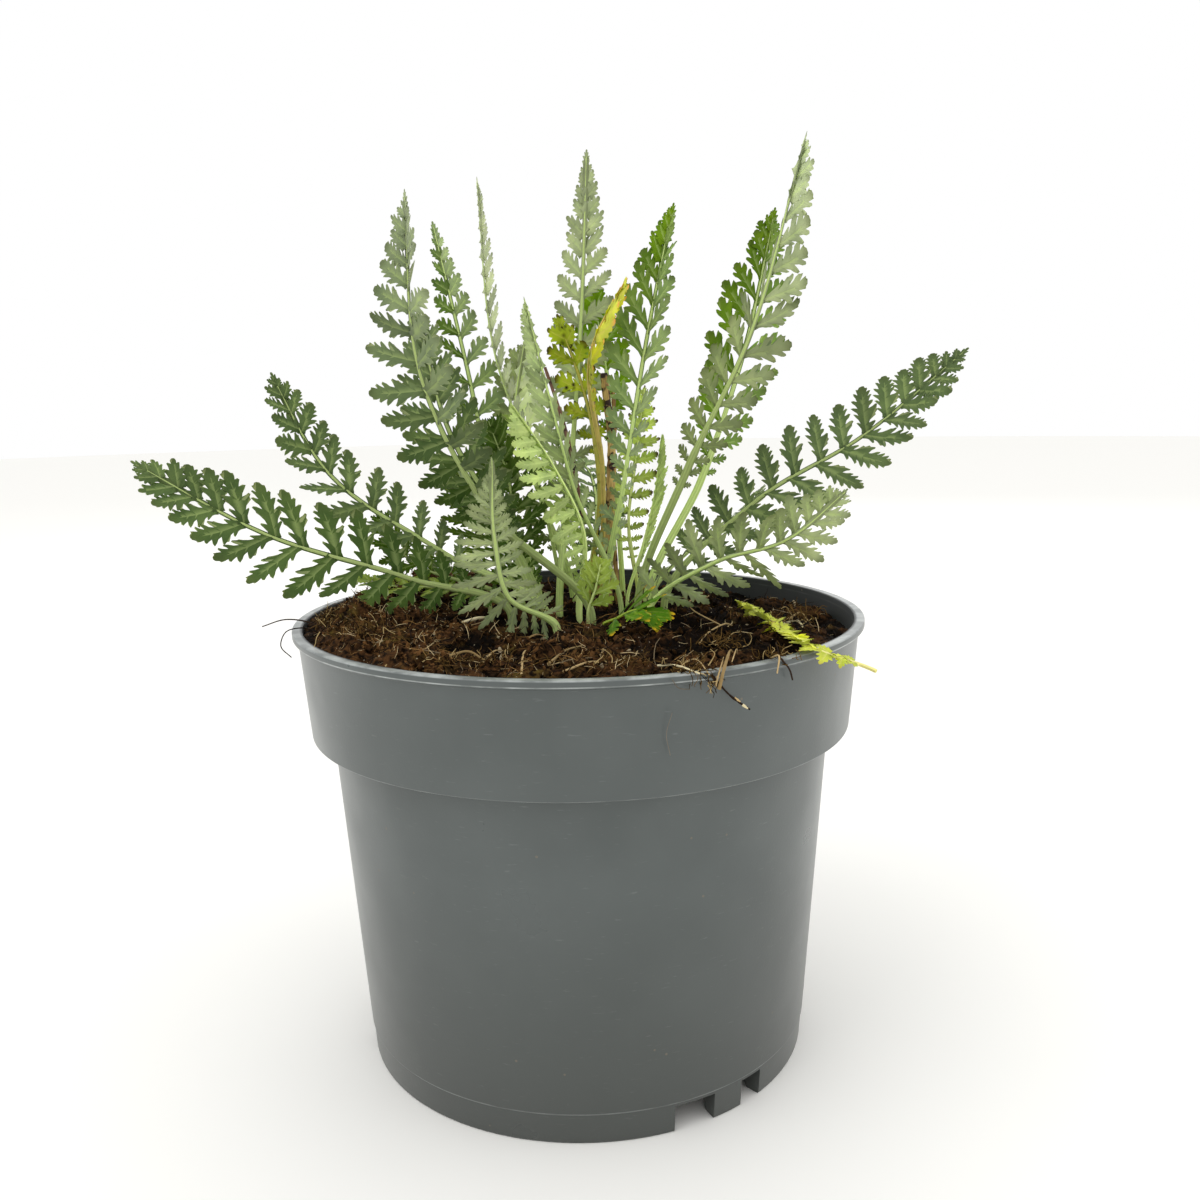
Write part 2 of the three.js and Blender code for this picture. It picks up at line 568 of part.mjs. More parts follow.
function soilBody() {
  const floor = DRAIN_RISE + FLOOR;
  const wallInside = (height) => {
    if (height > LEDGE) return collarOuter(height) - WALL - 2 * GAP;
    const share = (height - floor) / (LEDGE - floor);
    return lerp(INNER_FOOT_RADIUS, BODY_TOP_RADIUS - WALL, share) - 2 * GAP;
  };
  const surface = (radius) => (angle) => (
    [radius, soilHeight(radius * Math.cos(angle), radius * Math.sin(angle))]);
  const side = (height) => () => [wallInside(height), height];
  const rows = [
    () => [0, soilHeight(0, 0)],
    ...SOIL_RINGS.map(surface),
    (angle) => {
      const height = soilHeight(SOIL_EDGE * Math.cos(angle), SOIL_EDGE * Math.sin(angle));
      return [Math.min(SOIL_EDGE, wallInside(height)), height];
    },
    side(LEDGE + 1.6),
    () => [wallInside(LEDGE), LEDGE + 0.9],
    side(floor + 2 * GAP),
    () => [0, floor + 2 * GAP],
  ];
  return turnedSolid(rows, SOIL_SECTORS);
}

// Materials

const finish = (color, roughness) => new THREE.MeshStandardMaterial({ color, roughness, metalness: 0 });
const FINISHES = {
  pot: finish('#686d69', 0.5),
  soil: finish('#3a2a1e', 0.95),
  wood: finish('#6b4a2c', 0.85),
  straw: finish('#c8b45a', 0.8),
  green: finish('#4f7049', 0.7),
  olive: finish('#5d7030', 0.7),
  grey: finish('#8fa58a', 0.75),
  young: finish('#93b058', 0.65),
  yellow: finish('#b8b32e', 0.7),
};

// Assembly

const plant = new THREE.Group();

function addPiece(name, geometry, material) {
  const piece = new THREE.Mesh(geometry, material);
  piece.name = name;
  plant.add(piece);
}

addPiece('pot', potGeometry(), FINISHES.pot);

let soil = toSolid(soilBody()).subtract(toSolid(rootstockGeometry(GAP)));
for (const leaf of LEAVES) {
  const foot = stalkBend(leaf.root) - CROWN_TOP - GAP;
  const { geometry, stalkRadius } = leafGeometry(leaf, leafTrack(leaf), foot);
  addPiece(leaf.name, geometry, FINISHES[leaf.kind]);
  soil = soil.subtract(toSolid(holeGeometry(leaf.root, stalkRadius)));
}

let crown = toSolid(rootstockGeometry(0));
for (const stem of OLD_STEMS) {
  crown = crown.add(toSolid(rodGeometry(stem, 6, 8)));
  soil = soil.subtract(toSolid(holeGeometry(stem.path[0], stem.radius)));
}
addPiece('rootstock_and_old_stems', fromSolid(crown), FINISHES.wood);

addPiece('dry_twig', rodGeometry(DRY_TWIG, 6, 8), FINISHES.wood);
soil = soil.subtract(toSolid(holeGeometry(DRY_TWIG.path[0], DRY_TWIG.radius)));

const witheredTrack = new Track(smoothPath(WITHERED.path.map((p) => vec(...p)), vec(-0.6, 0.7, 0.2)));
addPiece('leaf_withered', leafGeometry(WITHERED, witheredTrack, 1).geometry, FINISHES.straw);

addPiece('soil', fromSolid(soil), FINISHES.soil);

export default plant;
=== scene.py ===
"""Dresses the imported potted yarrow.

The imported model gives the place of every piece. This script puts finely cut leaves, a moulded pot, a bed
of peat and weathered stems in place of its plain solids. Plans are in millimetres, like the drawings of
the part; every mesh is in metres with +Z up and the front of the plant towards -Y.
"""

import json
import logging
from collections.abc import Callable
from dataclasses import dataclass
from enum import Enum
from functools import partial
from math import cos, exp, hypot, pi, radians, sin, tau

import bmesh
import bpy
import numpy as np
from bpy.types import Collection, GeometryNodeTree, Mesh, NodeSocket, NodeTree, Object
from mathutils import Matrix, Vector, noise

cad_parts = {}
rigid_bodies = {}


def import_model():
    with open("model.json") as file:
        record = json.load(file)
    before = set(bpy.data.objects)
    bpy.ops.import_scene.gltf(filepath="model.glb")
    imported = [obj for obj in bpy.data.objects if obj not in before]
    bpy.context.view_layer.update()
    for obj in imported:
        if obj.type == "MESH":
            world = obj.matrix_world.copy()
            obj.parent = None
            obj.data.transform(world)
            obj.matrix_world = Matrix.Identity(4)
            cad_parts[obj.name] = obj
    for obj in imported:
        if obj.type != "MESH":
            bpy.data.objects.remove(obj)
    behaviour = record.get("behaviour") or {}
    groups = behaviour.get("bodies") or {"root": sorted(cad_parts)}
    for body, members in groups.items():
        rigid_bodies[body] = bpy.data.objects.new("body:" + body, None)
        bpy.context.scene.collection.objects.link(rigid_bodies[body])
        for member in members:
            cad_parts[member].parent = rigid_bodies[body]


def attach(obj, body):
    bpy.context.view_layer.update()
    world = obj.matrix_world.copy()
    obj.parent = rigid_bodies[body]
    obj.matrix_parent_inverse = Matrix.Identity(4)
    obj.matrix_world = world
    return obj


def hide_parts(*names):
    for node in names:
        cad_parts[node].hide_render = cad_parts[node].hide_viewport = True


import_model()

Pair = tuple[float, float]
Triple = tuple[float, float, float]
# Adds a node to one tree: add_node with its tree filled in.
Adder = Callable[..., NodeSocket]

LOG = logging.getLogger("yarrow")
MM = 0.001
BODY = "root"
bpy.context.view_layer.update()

# Heights that pieces share, in mm: the ledge inside the pot, the level of the soil, and the foot of every
# stalk, just over the rootstock.
LEDGE, SOIL_LEVEL, STALK_FOOT = 103.4, 131.0, 121.3
# Radius at which the soil meets the collar, in mm, and how near corners have to be to be one, in metres.
SOIL_EDGE = 81.8
WELD = 1e-6

# Blender's names of the nodes that are used most.
MATH, MIX, RANGE = "ShaderNodeMath", "ShaderNodeMix", "ShaderNodeMapRange"
NOISE, CELLS, BUMP = "ShaderNodeTexNoise", "ShaderNodeTexVoronoi", "ShaderNodeBump"
SPLIT, UNITE, VECTORS = "ShaderNodeSeparateXYZ", "ShaderNodeCombineXYZ", "ShaderNodeVectorMath"
SKIN, MAPPING, HUE = "ShaderNodeBsdfPrincipled", "ShaderNodeMapping", "ShaderNodeHueSaturation"
PLACE, VALUE, RANDOM = "ShaderNodeTexCoord", "ShaderNodeAttribute", "FunctionNodeRandomValue"
READ, KEEP = "GeometryNodeInputNamedAttribute", "GeometryNodeStoreNamedAttribute"

# Settings that go with them: a mix of colours, a soft step, the sums and two kinds of value.
COLOUR = {"out": 2, "data_type": "RGBA"}
SOFT = {"interpolation_type": "SMOOTHSTEP"}
TIMES, TIMES_PLUS, LESS = ({"operation": kind} for kind in ("MULTIPLY", "MULTIPLY_ADD", "SUBTRACT"))
ABOVE, MOST, SIZE = ({"operation": kind} for kind in ("GREATER_THAN", "MAXIMUM", "ABSOLUTE"))
NUMBER, TRIPLE = {"data_type": "FLOAT"}, {"data_type": "FLOAT_VECTOR"}


# Small helpers


def linear(colour: str) -> tuple[float, float, float, float]:
    """Turns an sRGB colour into linear light.

    Args:
        colour: Hex value such as "#4f7049".

    Returns:
        Linear red, green, blue and an alpha of 1.
    """
    values = [int(colour[i : i + 2], 16) / 255 for i in (1, 3, 5)]
    light = [v / 12.92 if v <= 0.04045 else ((v + 0.055) / 1.055) ** 2.4 for v in values]
    return (light[0], light[1], light[2], 1.0)


def pattern(place: NodeSocket, size: float, **more: float) -> dict[str, object]:
    """Inputs of a pattern whose marks are this wide, in mm, and whatever else it takes."""
    return {"Vector": place, "Scale": 1 / (size * MM), **more}


def add_node(
    tree: NodeTree,
    kind: str,
    inputs: dict[str | int, object] | tuple[object, ...] = (),
    out: str | int = 0,
    **settings: object,
) -> NodeSocket:
    """Adds a node with its settings, and sets or links its inputs.

    Args:
        tree: Tree that gets the node.
        kind: Blender's name of the node type.
        inputs: Value or output socket for each input, by name or number, or for the first few in a row.
        out: Output that is wanted, by name or number.
        settings: Properties of the node.

    Returns:
        That output of the new node.
    """
    node = tree.nodes.new(kind)
    for name, value in settings.items():
        setattr(node, name, value)
    for key, value in inputs.items() if isinstance(inputs, dict) else enumerate(inputs):
        if isinstance(value, NodeSocket):
            tree.links.new(value, node.inputs[key])
        else:
            node.inputs[key].default_value = value
    return node.outputs[out]


def new_tree(name: str, sizes: dict[str, str]) -> tuple[GeometryNodeTree, bpy.types.NodeOutputs]:
    """Starts a Geometry Nodes tree.

    Args:
        name: Name of the tree.
        sizes: Kind of each input after the geometry, such as Float, by name.

    Returns:
        The tree, and its inputs as sockets to link from.
    """
    tree = bpy.data.node_groups.new(name, "GeometryNodeTree")
    tree.interface.new_socket("Geometry", in_out="OUTPUT", socket_type="NodeSocketGeometry")
    for socket, kind in {"Geometry": "Geometry", **sizes}.items():
        tree.interface.new_socket(socket, in_out="INPUT", socket_type="NodeSocket" + kind)
    return tree, tree.nodes.new("NodeGroupInput").outputs


def end_tree(tree: GeometryNodeTree, geometry: NodeSocket, finish: NodeSocket) -> None:
    """Ends a Geometry Nodes tree: makes its instances real and gives them their finish.

    Args:
        tree: Tree that ends here.
        geometry: What it has made.
        finish: Material of all of it.
    """
    real = add_node(tree, "GeometryNodeRealizeInstances", {"Geometry": geometry})
    done = add_node(tree, "GeometryNodeSetMaterial", {"Geometry": real, "Material": finish})
    tree.links.new(done, tree.nodes.new("NodeGroupOutput").inputs[0])


def modify(piece: Object, tree: GeometryNodeTree, sizes: dict[str, object]) -> None:
    """Puts a Geometry Nodes modifier on an object and sets its inputs by identifier.

    Args:
        piece: Object that gets the modifier.
        tree: Tree that the modifier runs.
        sizes: Value of each input, by the name it shows.
    """
    modifier = piece.modifiers.new(tree.name, "NODES")
    modifier.node_group = tree
    for item in tree.interface.items_tree:
        if item.in_out == "INPUT" and item.name in sizes:
            modifier[item.identifier] = sizes[item.name]


def keep_values(mesh: Mesh, name: str, values: list | np.ndarray, kind: str = "FLOAT") -> None:
    """Stores one number or three for every corner of a mesh, given in one row."""
    layer = mesh.attributes.new(name, kind, "POINT")
    layer.data.foreach_set("vector" if kind == "FLOAT_VECTOR" else "value", values)


def set_down(name: str, data: bpy.types.ID) -> Object:
    """Makes an object at the origin of the scene.

    Args:
        name: Name of the object.
        data: Its mesh, camera or lamp.

    Returns:
        The object.
    """
    made = bpy.data.objects.new(name, data)
    bpy.context.scene.collection.objects.link(made)
    return made


def settle(guide: Object, name: str) -> Object:
    """Turns an object with live modifiers into a plain one, and removes the first.

    Args:
        guide: Object with its modifiers.
        name: Name of the new piece.

    Returns:
        The new piece, at the origin, with its place in its mesh.
    """
    graph = bpy.context.evaluated_depsgraph_get()
    mesh = bpy.data.meshes.new_from_object(guide.evaluated_get(graph), depsgraph=graph)
    mesh.name = name
    bpy.data.objects.remove(guide)
    return set_down(name, mesh)


def face_out(mesh: Mesh, weld: float = 0.0) -> None:
    """Turns the faces of a mesh outwards.

    Args:
        mesh: Closed mesh.
        weld: Distance under which its corners are joined first, in metres, or 0.
    """
    form = bmesh.new()
    form.from_mesh(mesh)
    if weld:
        bmesh.ops.remove_doubles(form, verts=form.verts, dist=weld)
    bmesh.ops.recalc_face_normals(form, faces=form.faces)
    form.to_mesh(mesh)
    form.free()


def hand_over(piece: Object, nodes: tuple[str, ...] = ()) -> None:
    """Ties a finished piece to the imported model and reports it.

    Args:
        piece: Finished piece.
        nodes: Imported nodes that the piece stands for.
    """
    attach(piece, BODY)
    if nodes:
        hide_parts(*nodes)
    LOG.info("%s: %d faces", piece.name, len(piece.data.polygons))


class Guide:
    """Points and edges that a Geometry Nodes tree reads, with named values at every point."""

    def __init__(self) -> None:
        """Starts with no points."""
        self.places: list[Vector] = []
        self.values: list[dict[str, object]] = []
        self.edges: list[tuple[int, int]] = []

    def point(self, place: Vector, join: bool = False, **values: object) -> None:
        """Adds a point.

        Args:
            place: Where it lies, in metres.
            join: Whether an edge runs to it from the point before.
            values: Named numbers and vectors that it carries.
        """
        self.places.append(Vector(place))
        self.values.append(values)
        if join:
            self.edges.append((len(self.places) - 2, len(self.places) - 1))

    def build(self, name: str) -> Object:
        """Makes the guide's object.

        Args:
            name: Name of the object.

        Returns:
            The object, linked to the scene.
        """
        mesh = bpy.data.meshes.new(name)
        mesh.from_pydata(self.places, self.edges, [])
        samples: dict[str, object] = {}
        for values in self.values:
            samples.update(values)
        for key, sample in samples.items():
            if isinstance(sample, int):
                kind, blank = "INT", 0
            elif isinstance(sample, float):
                kind, blank = "FLOAT", 0.0
            else:
                kind, blank = "FLOAT_VECTOR", (0, 0, 1)
            keep_values(mesh, key, np.ravel([values.get(key, blank) for values in self.values]), kind)
        return set_down(name, mesh)


# Finishes


@dataclass(frozen=True)
class Finish:
    """What a surface is made of. Each kind lays out nodes of its own."""

    name: str

    def material(self) -> bpy.types.Material:
        """Makes the material, unless it is there already.

        Returns:
            The material.
        """
        if self.name in bpy.data.materials:
            return bpy.data.materials[self.name]
        made = bpy.data.materials.new(self.name)
        made.use_nodes = True
        made.node_tree.nodes.clear()
        end = made.node_tree.nodes.new("ShaderNodeOutputMaterial")
        shader = self.paint(partial(add_node, made.node_tree))
        made.node_tree.links.new(shader, end.inputs["Surface"])
        return made

    def paint(self, add: Adder) -> NodeSocket:
        """Lays out the nodes of the material, and returns the shader."""
        raise NotImplementedError


@dataclass(frozen=True)
class LeafTissue(Finish):
    """Yarrow leaf: thin, ribbed by its veins and greyed by fine hairs, so it is matt with a soft sheen at
    the edges, paler beneath, and glows yellow-green where light comes through it. Its colour also takes a
    pale hairy grey with painted sheen, a painted yellow-green glow, and painted light and shade from the
    tint of each leaflet."""

    upper: str = "#47622a"
    under: str = "#99a66f"
    vein: str = "#c9dc8e"
    tip: str = "#525c34"
    # Pale hairy grey, with painted sheen where the hairs catch the light.
    felt_and_sheen: str = "#c6cdae"
    # Yellow-green of the painted glow of light shining through the blade.
    backlit_glow_green: str = "#6d9012"
    tip_share: float = 0.45
    glow: float = 0.25
    spots: float = 0.0
    spot_colour: str = "#1c120c"

    def paint(self, add: Adder) -> NodeSocket:
        """Lays out the nodes.

        Args:
            add: Adds a node to the material.

        Returns:
            The shader.
        """
        place = add(PLACE, out="Object")
        form = add(VALUE, out="Vector", attribute_name="form")
        tint = add(VALUE, out="Vector", attribute_name="tint")
        part = add(VALUE, out="Fac", attribute_name="part")
        vein = add(VALUE, out="Fac", attribute_name="vein")
        axes = add(SPLIT, (form,)).node.outputs
        # The tint holds the share of pale hairy grey with painted sheen, the lightness with painted light and
        # shade, and the share of the painted yellow-green glow.
        felt_and_sheen_share, own, backlit_glow_share = add(SPLIT, (tint,)).node.outputs
        top = add(MATH, (axes[2], 0.0), **ABOVE)
        colour = add(MIX, {0: top, 6: linear(self.under), 7: linear(self.upper)}, **COLOUR)
        for share, shade in ((backlit_glow_share, self.backlit_glow_green), (felt_and_sheen_share, self.felt_and_sheen)):
            colour = add(MIX, {0: share, 6: colour, 7: linear(shade)}, **COLOUR)
        # Patches of deeper and paler green.
        patches = add(NOISE, pattern(place, 6.25, Detail=3.0))
        shade = add(RANGE, (patches, 0.3, 0.7, 0.8, 1.2))
        # Each leaflet's own tone, times the painted light and shade of its part and half.
        shade = add(MATH, (shade, own), **TIMES)
        hue = add(RANGE, (patches, 0.3, 0.7, 0.507, 0.49))
        colour = add(HUE, {"Color": colour, "Value": shade, "Hue": hue})
        # The tips of the teeth ripen first.
        out = add(MATH, (axes[1],), **SIZE)
        tooth = add(RANGE, (out, 0.7, 1.1), **SOFT)
        end = add(RANGE, (axes[0], 0.75, 1.0), **SOFT)
        ripe = add(MATH, (tooth, end), **MOST)
        ripe = add(MATH, (ripe, self.tip_share), **TIMES)
        colour = add(MIX, {0: ripe, 6: colour, 7: linear(self.tip)}, **COLOUR)
        # The midvein, and one side vein up into each lobe.
        veins = add(RANGE, (vein, 0.88, 1.0), **SOFT)
        blade = add(MATH, (1.0, part), **LESS)
        veins = add(MATH, (veins, blade), **TIMES)
        pale = add(MATH, (veins, 0.36, part), **TIMES_PLUS, use_clamp=True)
        # Ribs along the stalk, about 0.4 mm apart.
        ribs = add(MATH, (axes[1], 9.0), **TIMES)
        ribs = add(MATH, (ribs,), operation="SINE")
        ribbed = add(RANGE, (ribs, -1.0, 1.0, 0.86, 1.06))
        # The stalk takes the painted light and shade of its part too.
        ribbed = add(MATH, (ribbed, own), **TIMES)
        stalk = add(HUE, {"Color": linear(self.vein), "Value": ribbed})
        colour = add(MIX, {0: pale, 6: colour, 7: stalk}, **COLOUR)
        if self.spots > 0:
            mark = self.marks(add, place, out)
            colour = add(MIX, {0: mark, 6: colour, 7: linear(self.spot_colour)}, **COLOUR)
        # Sunken veins, and the felt of hairs drawn at 0.35 mm because the real 0.05 mm would not show.
        hairs = add(NOISE, pattern(place, 0.345))
        height = add(MATH, (veins, -0.9, hairs), **TIMES_PLUS)
        bump = add(BUMP, {"Height": height, "Strength": 0.5, "Distance": 0.25 * MM})
        surface = {"Roughness": 0.7, "Specular IOR Level": 0.1, "Sheen Weight": 0.1, "Sheen Roughness": 0.3}
        skin = add(SKIN, {"Base Color": colour, "Normal": bump, **surface})
        lit = add(HUE, {"Color": colour, "Saturation": 1.3, "Value": 1.5, "Hue": 0.492})
        through = add("ShaderNodeBsdfTranslucent", {"Color": lit, "Normal": bump})
        return add("ShaderNodeMixShader", (self.glow, skin, through))

    def marks(self, add: Adder, place: NodeSocket, out: NodeSocket) -> NodeSocket:
        """Lays out small dark dots and burnt patches near the margin.

        Args:
            add: Adds a node to the material.
            place: Place on the leaf.
            out: Distance from the midvein, 1 at the longest lobe.

        Returns:
            The share of the spot colour.
        """
        dots = add(CELLS, pattern(place, 2.38))
        dots = add(RANGE, (dots, 0.12, 0.4, 1.0, 0.0))
        blots = add(NOISE, pattern(place, 4.76))
        far = add(RANGE, (blots, 0.62 - 0.1 * self.spots, 0.66))
        dots = add(MATH, (dots, far), **TIMES)
        burnt = add(RANGE, (blots, 0.46, 0.52))
        edge = add(RANGE, (out, 0.75, 1.0))
        for factor in (edge, self.spots):
            burnt = add(MATH, (burnt, factor), **TIMES)
        return add(MATH, (dots, burnt), **MOST)


@dataclass(frozen=True)
class MouldedPolypropylene(Finish):
    """Recycled grey polypropylene, injection moulded: satin, so it brightens where it turns away, faintly
    pebbled by the mould, with painted highlight lines on its proud edges and painted shade at its foot,
    and stained by wet peat inside the collar, where painted shade darkens it further."""

    name: str = "moulded_polypropylene"
    body: str = "#545a59"
    cloud: str = "#4d5352"
    # Colour of the painted shade at the foot.
    low: str = "#444744"
    # Pale hair-fine scuffs, and the painted highlight lines on the proud edges.
    scuff_and_highlight: str = "#b4b9b7"
    # Colour of the wet peat stain and painted shade inside the collar.
    stain_and_shade: str = "#15191a"
    dirt: str = "#756b5b"
    # Height of each edge with a painted highlight line, half the width of the line, in mm, and how strong the
    # painted highlight is.
    edges: tuple[Triple, ...] = (
        (132.4, 0.35, 0.75), (130.7, 0.3, 0.85), (101.1, 0.3, 0.35), (9.1, 0.35, 0.3),
    )
    # Up to this height painted shade darkens the foot, most near the floor, in mm.
    shaded_foot_height: float = 75.0
    # The stain and painted shade inside the collar lie above this height and within this radius, in mm, which
    # grows with the height.
    stain_and_shade_foot: float = 102.5
    inner_radius: float = 72.2
    lean: float = 0.0794

    def paint(self, add: Adder) -> NodeSocket:
        """Lays out the nodes.

        Args:
            add: Adds a node to the material.

        Returns:
            The shader.
        """
        place = add(PLACE, out="Object")
        height = add(SPLIT, (place,), out=2)
        # Clouds in the regrind, and painted shade that darkens the foot towards the floor.
        clouds = add(NOISE, pattern(place, 30.3, Detail=4.0))
        mixed = add(RANGE, (clouds, 0.35, 0.7))
        base = add(MIX, {0: mixed, 6: linear(self.body), 7: linear(self.cloud)}, **COLOUR)
        down = add(RANGE, (height, 0.0, self.shaded_foot_height * MM, 0.9, 0.0))
        base = add(MIX, {0: down, 6: base, 7: linear(self.low)}, **COLOUR)
        # Short hair-fine scuffs, stretched round the pot.
        level = add(MAPPING, {"Vector": place, "Scale": (1.0, 1.0, 7.0)})
        worn = add(NOISE, pattern(level, 3.85, Detail=3.0))
        worn = add(RANGE, (worn, 0.66, 0.76, 0.0, 0.09))
        # Painted highlight lines along the proud edges, in broken stretches.
        gaps = add(NOISE, pattern(place, 7.14, Detail=4.0))
        gaps = add(RANGE, (gaps, 0.38, 0.6, 0.25, 1.0))
        for edge, half, share in self.edges:
            near = add(MATH, (height, edge * MM), **LESS)
            near = add(MATH, (near,), **SIZE)
            near = add(RANGE, (near, 0.3 * half * MM, half * MM, share, 0.0))
            near = add(MATH, (near, gaps), **TIMES)
            worn = add(MATH, (worn, near), **MOST)
        base = add(MIX, {0: worn, 6: base, 7: linear(self.scuff_and_highlight)}, **COLOUR)
        # Wet peat stains the inner side of the collar, and painted shade darkens it further.
        flat = add(MAPPING, {"Vector": place, "Scale": (1.0, 1.0, 0.0)})
        radius = add(VECTORS, (flat,), out="Value", operation="LENGTH")
        radius = add(MATH, (height, -self.lean, radius), **TIMES_PLUS)
        inner, outer = (self.inner_radius - 0.4) * MM, (self.inner_radius + 0.2) * MM
        inside = add(RANGE, (radius, inner, outer, 0.92, 0.0))
        above = add(MATH, (height, self.stain_and_shade_foot * MM), **ABOVE)
        inside = add(MATH, (inside, above), **TIMES)
        base = add(MIX, {0: inside, 6: base, 7: linear(self.stain_and_shade)}, **COLOUR)
        # Single dried specks, 0.5 mm across and about 10 mm apart.
        specks = add(CELLS, pattern(place, 10.5))
        specks = add(RANGE, (specks, 0.028, 0.04, 0.6, 0.0))
        base = add(MIX, {0: specks, 6: base, 7: linear(self.dirt)}, **COLOUR)
        shine = add(RANGE, (clouds, 0.3, 0.7, 0.27, 0.34))
        soiled = add(MATH, (inside, specks), **MOST)
        rough = add(MATH, (soiled, 0.25, shine), **TIMES_PLUS)
        # Pebbling of the mould over long shallow waves.
        pebbles = add(NOISE, pattern(place, 0.5, Detail=1.0))
        waves = add(NOISE, pattern(place, 14.3, Detail=1.0))
        relief = add(MATH, (waves, 6.0, pebbles), **TIMES_PLUS)
        bump = add(BUMP, {"Height": relief, "Strength": 0.35, "Distance": 0.06 * MM})
        return add(SKIN, {"Base Color": base, "Roughness": rough, "Normal": bump, "IOR": 1.49})


@dataclass(frozen=True)
class LooseMatter(Finish):
    """Peat crumbs, coir fibres, straws or old roots: dead plant matter with hardly any gloss, each bit a
    tone of its own between two colours, with a few of an odd colour. Its grain is in mm."""

    dark: str
    light: str
    odd: str
    odd_share: float = 0.08
    grain: float = 1.11
    roughness: float = 0.92

    def paint(self, add: Adder) -> NodeSocket:
        """Lays out the nodes.

        Args:
            add: Adds a node to the material.

        Returns:
            The shader.
        """
        place = add(PLACE, out="Object")
        tint = add(VALUE, out="Vector", attribute_name="tint")
        draws = add(SPLIT, (tint,)).node.outputs
        grain = add(NOISE, pattern(place, self.grain, Detail=3.0))
        tone = add(MATH, (grain, 0.6, draws[0]), **TIMES_PLUS)
        tone = add(RANGE, (tone, 0.34, 1.15))
        colour = add(MIX, {0: tone, 6: linear(self.dark), 7: linear(self.light)}, **COLOUR)
        odd = add(MATH, (draws[1], 1.0 - self.odd_share), **ABOVE)
        colour = add(MIX, {0: odd, 6: colour, 7: linear(self.odd)}, **COLOUR)
        bump = add(BUMP, {"Height": grain, "Strength": 0.6, "Distance": 0.4 * MM})
        surface = {"Roughness": self.roughness, "Normal": bump, "Specular IOR Level": 0.04}
        return add(SKIN, {"Base Color": colour, **surface})


@dataclass(frozen=True)
class Peat(Finish):
    """Moist sphagnum peat with coir: near black where wet, brown where it has dried, darker in pits and
    lighter on crests by painted shade, with olive tufts of living moss and a little white sand. It is
    crumbly, so it has no gloss."""

    name: str = "peat"
    wet: tuple[str, str] = ("#050403", "#1a110b")
    dry: tuple[str, str] = ("#140c06", "#5d3f24")
    moss: str = "#5c5220"
    sand: str = "#a59a86"

    def paint(self, add: Adder) -> NodeSocket:
        """Lays out the nodes.

        Args:
            add: Adds a node to the material.

        Returns:
            The shader.
        """
        place = add(PLACE, out="Object")
        dry = add(VALUE, out="Fac", attribute_name="dry")
        grain = add(NOISE, pattern(place, 1.61, Detail=6.0))
        broad = add(NOISE, pattern(place, 9.1, Detail=3.0))
        tone = add(RANGE, (grain, 0.38, 0.72))
        wet, brown = (
            add(MIX, {0: tone, 6: linear(dark), 7: linear(light)}, **COLOUR)
            for dark, light in (self.wet, self.dry)
        )
        tufts = add(NOISE, pattern(place, 13.3))
        tufts = add(RANGE, (tufts, 0.56, 0.68))
        tufts = add(MATH, (tufts, tone), **TIMES)
        brown = add(MIX, {0: tufts, 6: brown, 7: linear(self.moss)}, **COLOUR)
        # The dry value also brings in the painted shade of pits and crests.
        share = add(MATH, (broad, 1.6, dry), **TIMES_PLUS)
        share = add(RANGE, (share, 0.95, 1.45))
        colour = add(MIX, {0: share, 6: wet, 7: brown}, **COLOUR)
        # Grains of sand, 0.2 mm across and under 3 mm apart.
        sand = add(CELLS, pattern(place, 2.63))
        sand = add(RANGE, (sand, 0.05, 0.09, 0.8, 0.0))
        colour = add(MIX, {0: sand, 6: colour, 7: linear(self.sand)}, **COLOUR)
        bump = add(BUMP, {"Height": grain, "Strength": 0.9, "Distance": 1.2 * MM})
        surface = {"Roughness": 0.85, "Normal": bump, "Specular IOR Level": 0.05}
        return add(SKIN, {"Base Color": colour, **surface})


@dataclass(frozen=True)
class DeadStem(Finish):
    """Weathered flower stem: dry bark that splits lengthwise, brown with purple-black scars and straw
    showing where it has worn through."""

    name: str = "weathered_bark"
    bark: str = "#7c5a30"
    worn: str = "#dcbc74"
    scar: str = "#2a1610"

    def paint(self, add: Adder) -> NodeSocket:
        """Lays out the nodes.

        Args:
            add: Adds a node to the material.

        Returns:
            The shader.
        """
        place = add(PLACE, out="Object")
        # Fibres that run up the stem, drawn at 0.7 mm because the real 0.1 mm would not show.
        up = add(MAPPING, {"Vector": place, "Scale": (1.0, 1.0, 0.12)})
        fibres = add(NOISE, pattern(up, 0.667, Detail=4.0))
        zones = add(NOISE, pattern(place, 9.1, Detail=3.0))
        worn = add(MATH, (zones, 1.3, fibres), **TIMES_PLUS)
        worn = add(RANGE, (worn, 0.9, 1.4))
        colour = add(MIX, {0: worn, 6: linear(self.bark), 7: linear(self.worn)}, **COLOUR)
        scars = add(NOISE, pattern(place, 3.33))
        scars = add(RANGE, (scars, 0.54, 0.6))
        colour = add(MIX, {0: scars, 6: colour, 7: linear(self.scar)}, **COLOUR)
        bump = add(BUMP, {"Height": fibres, "Strength": 0.7, "Distance": 0.3 * MM})
        return add(SKIN, {"Base Color": colour, "Roughness": 0.82, "Normal": bump})


@dataclass(frozen=True)
class StudioPaper(Finish):
    """Matt white background paper: no gloss, so it takes only soft shadows."""

    name: str = "studio_paper"
    colour: str = "#fbfaf6"

    def paint(self, add: Adder) -> NodeSocket:
        """Lays out the one node, and returns the shader."""
        surface = {"Base Color": linear(self.colour), "Roughness": 0.95, "Specular IOR Level": 0.1}
        return add(SKIN, surface)


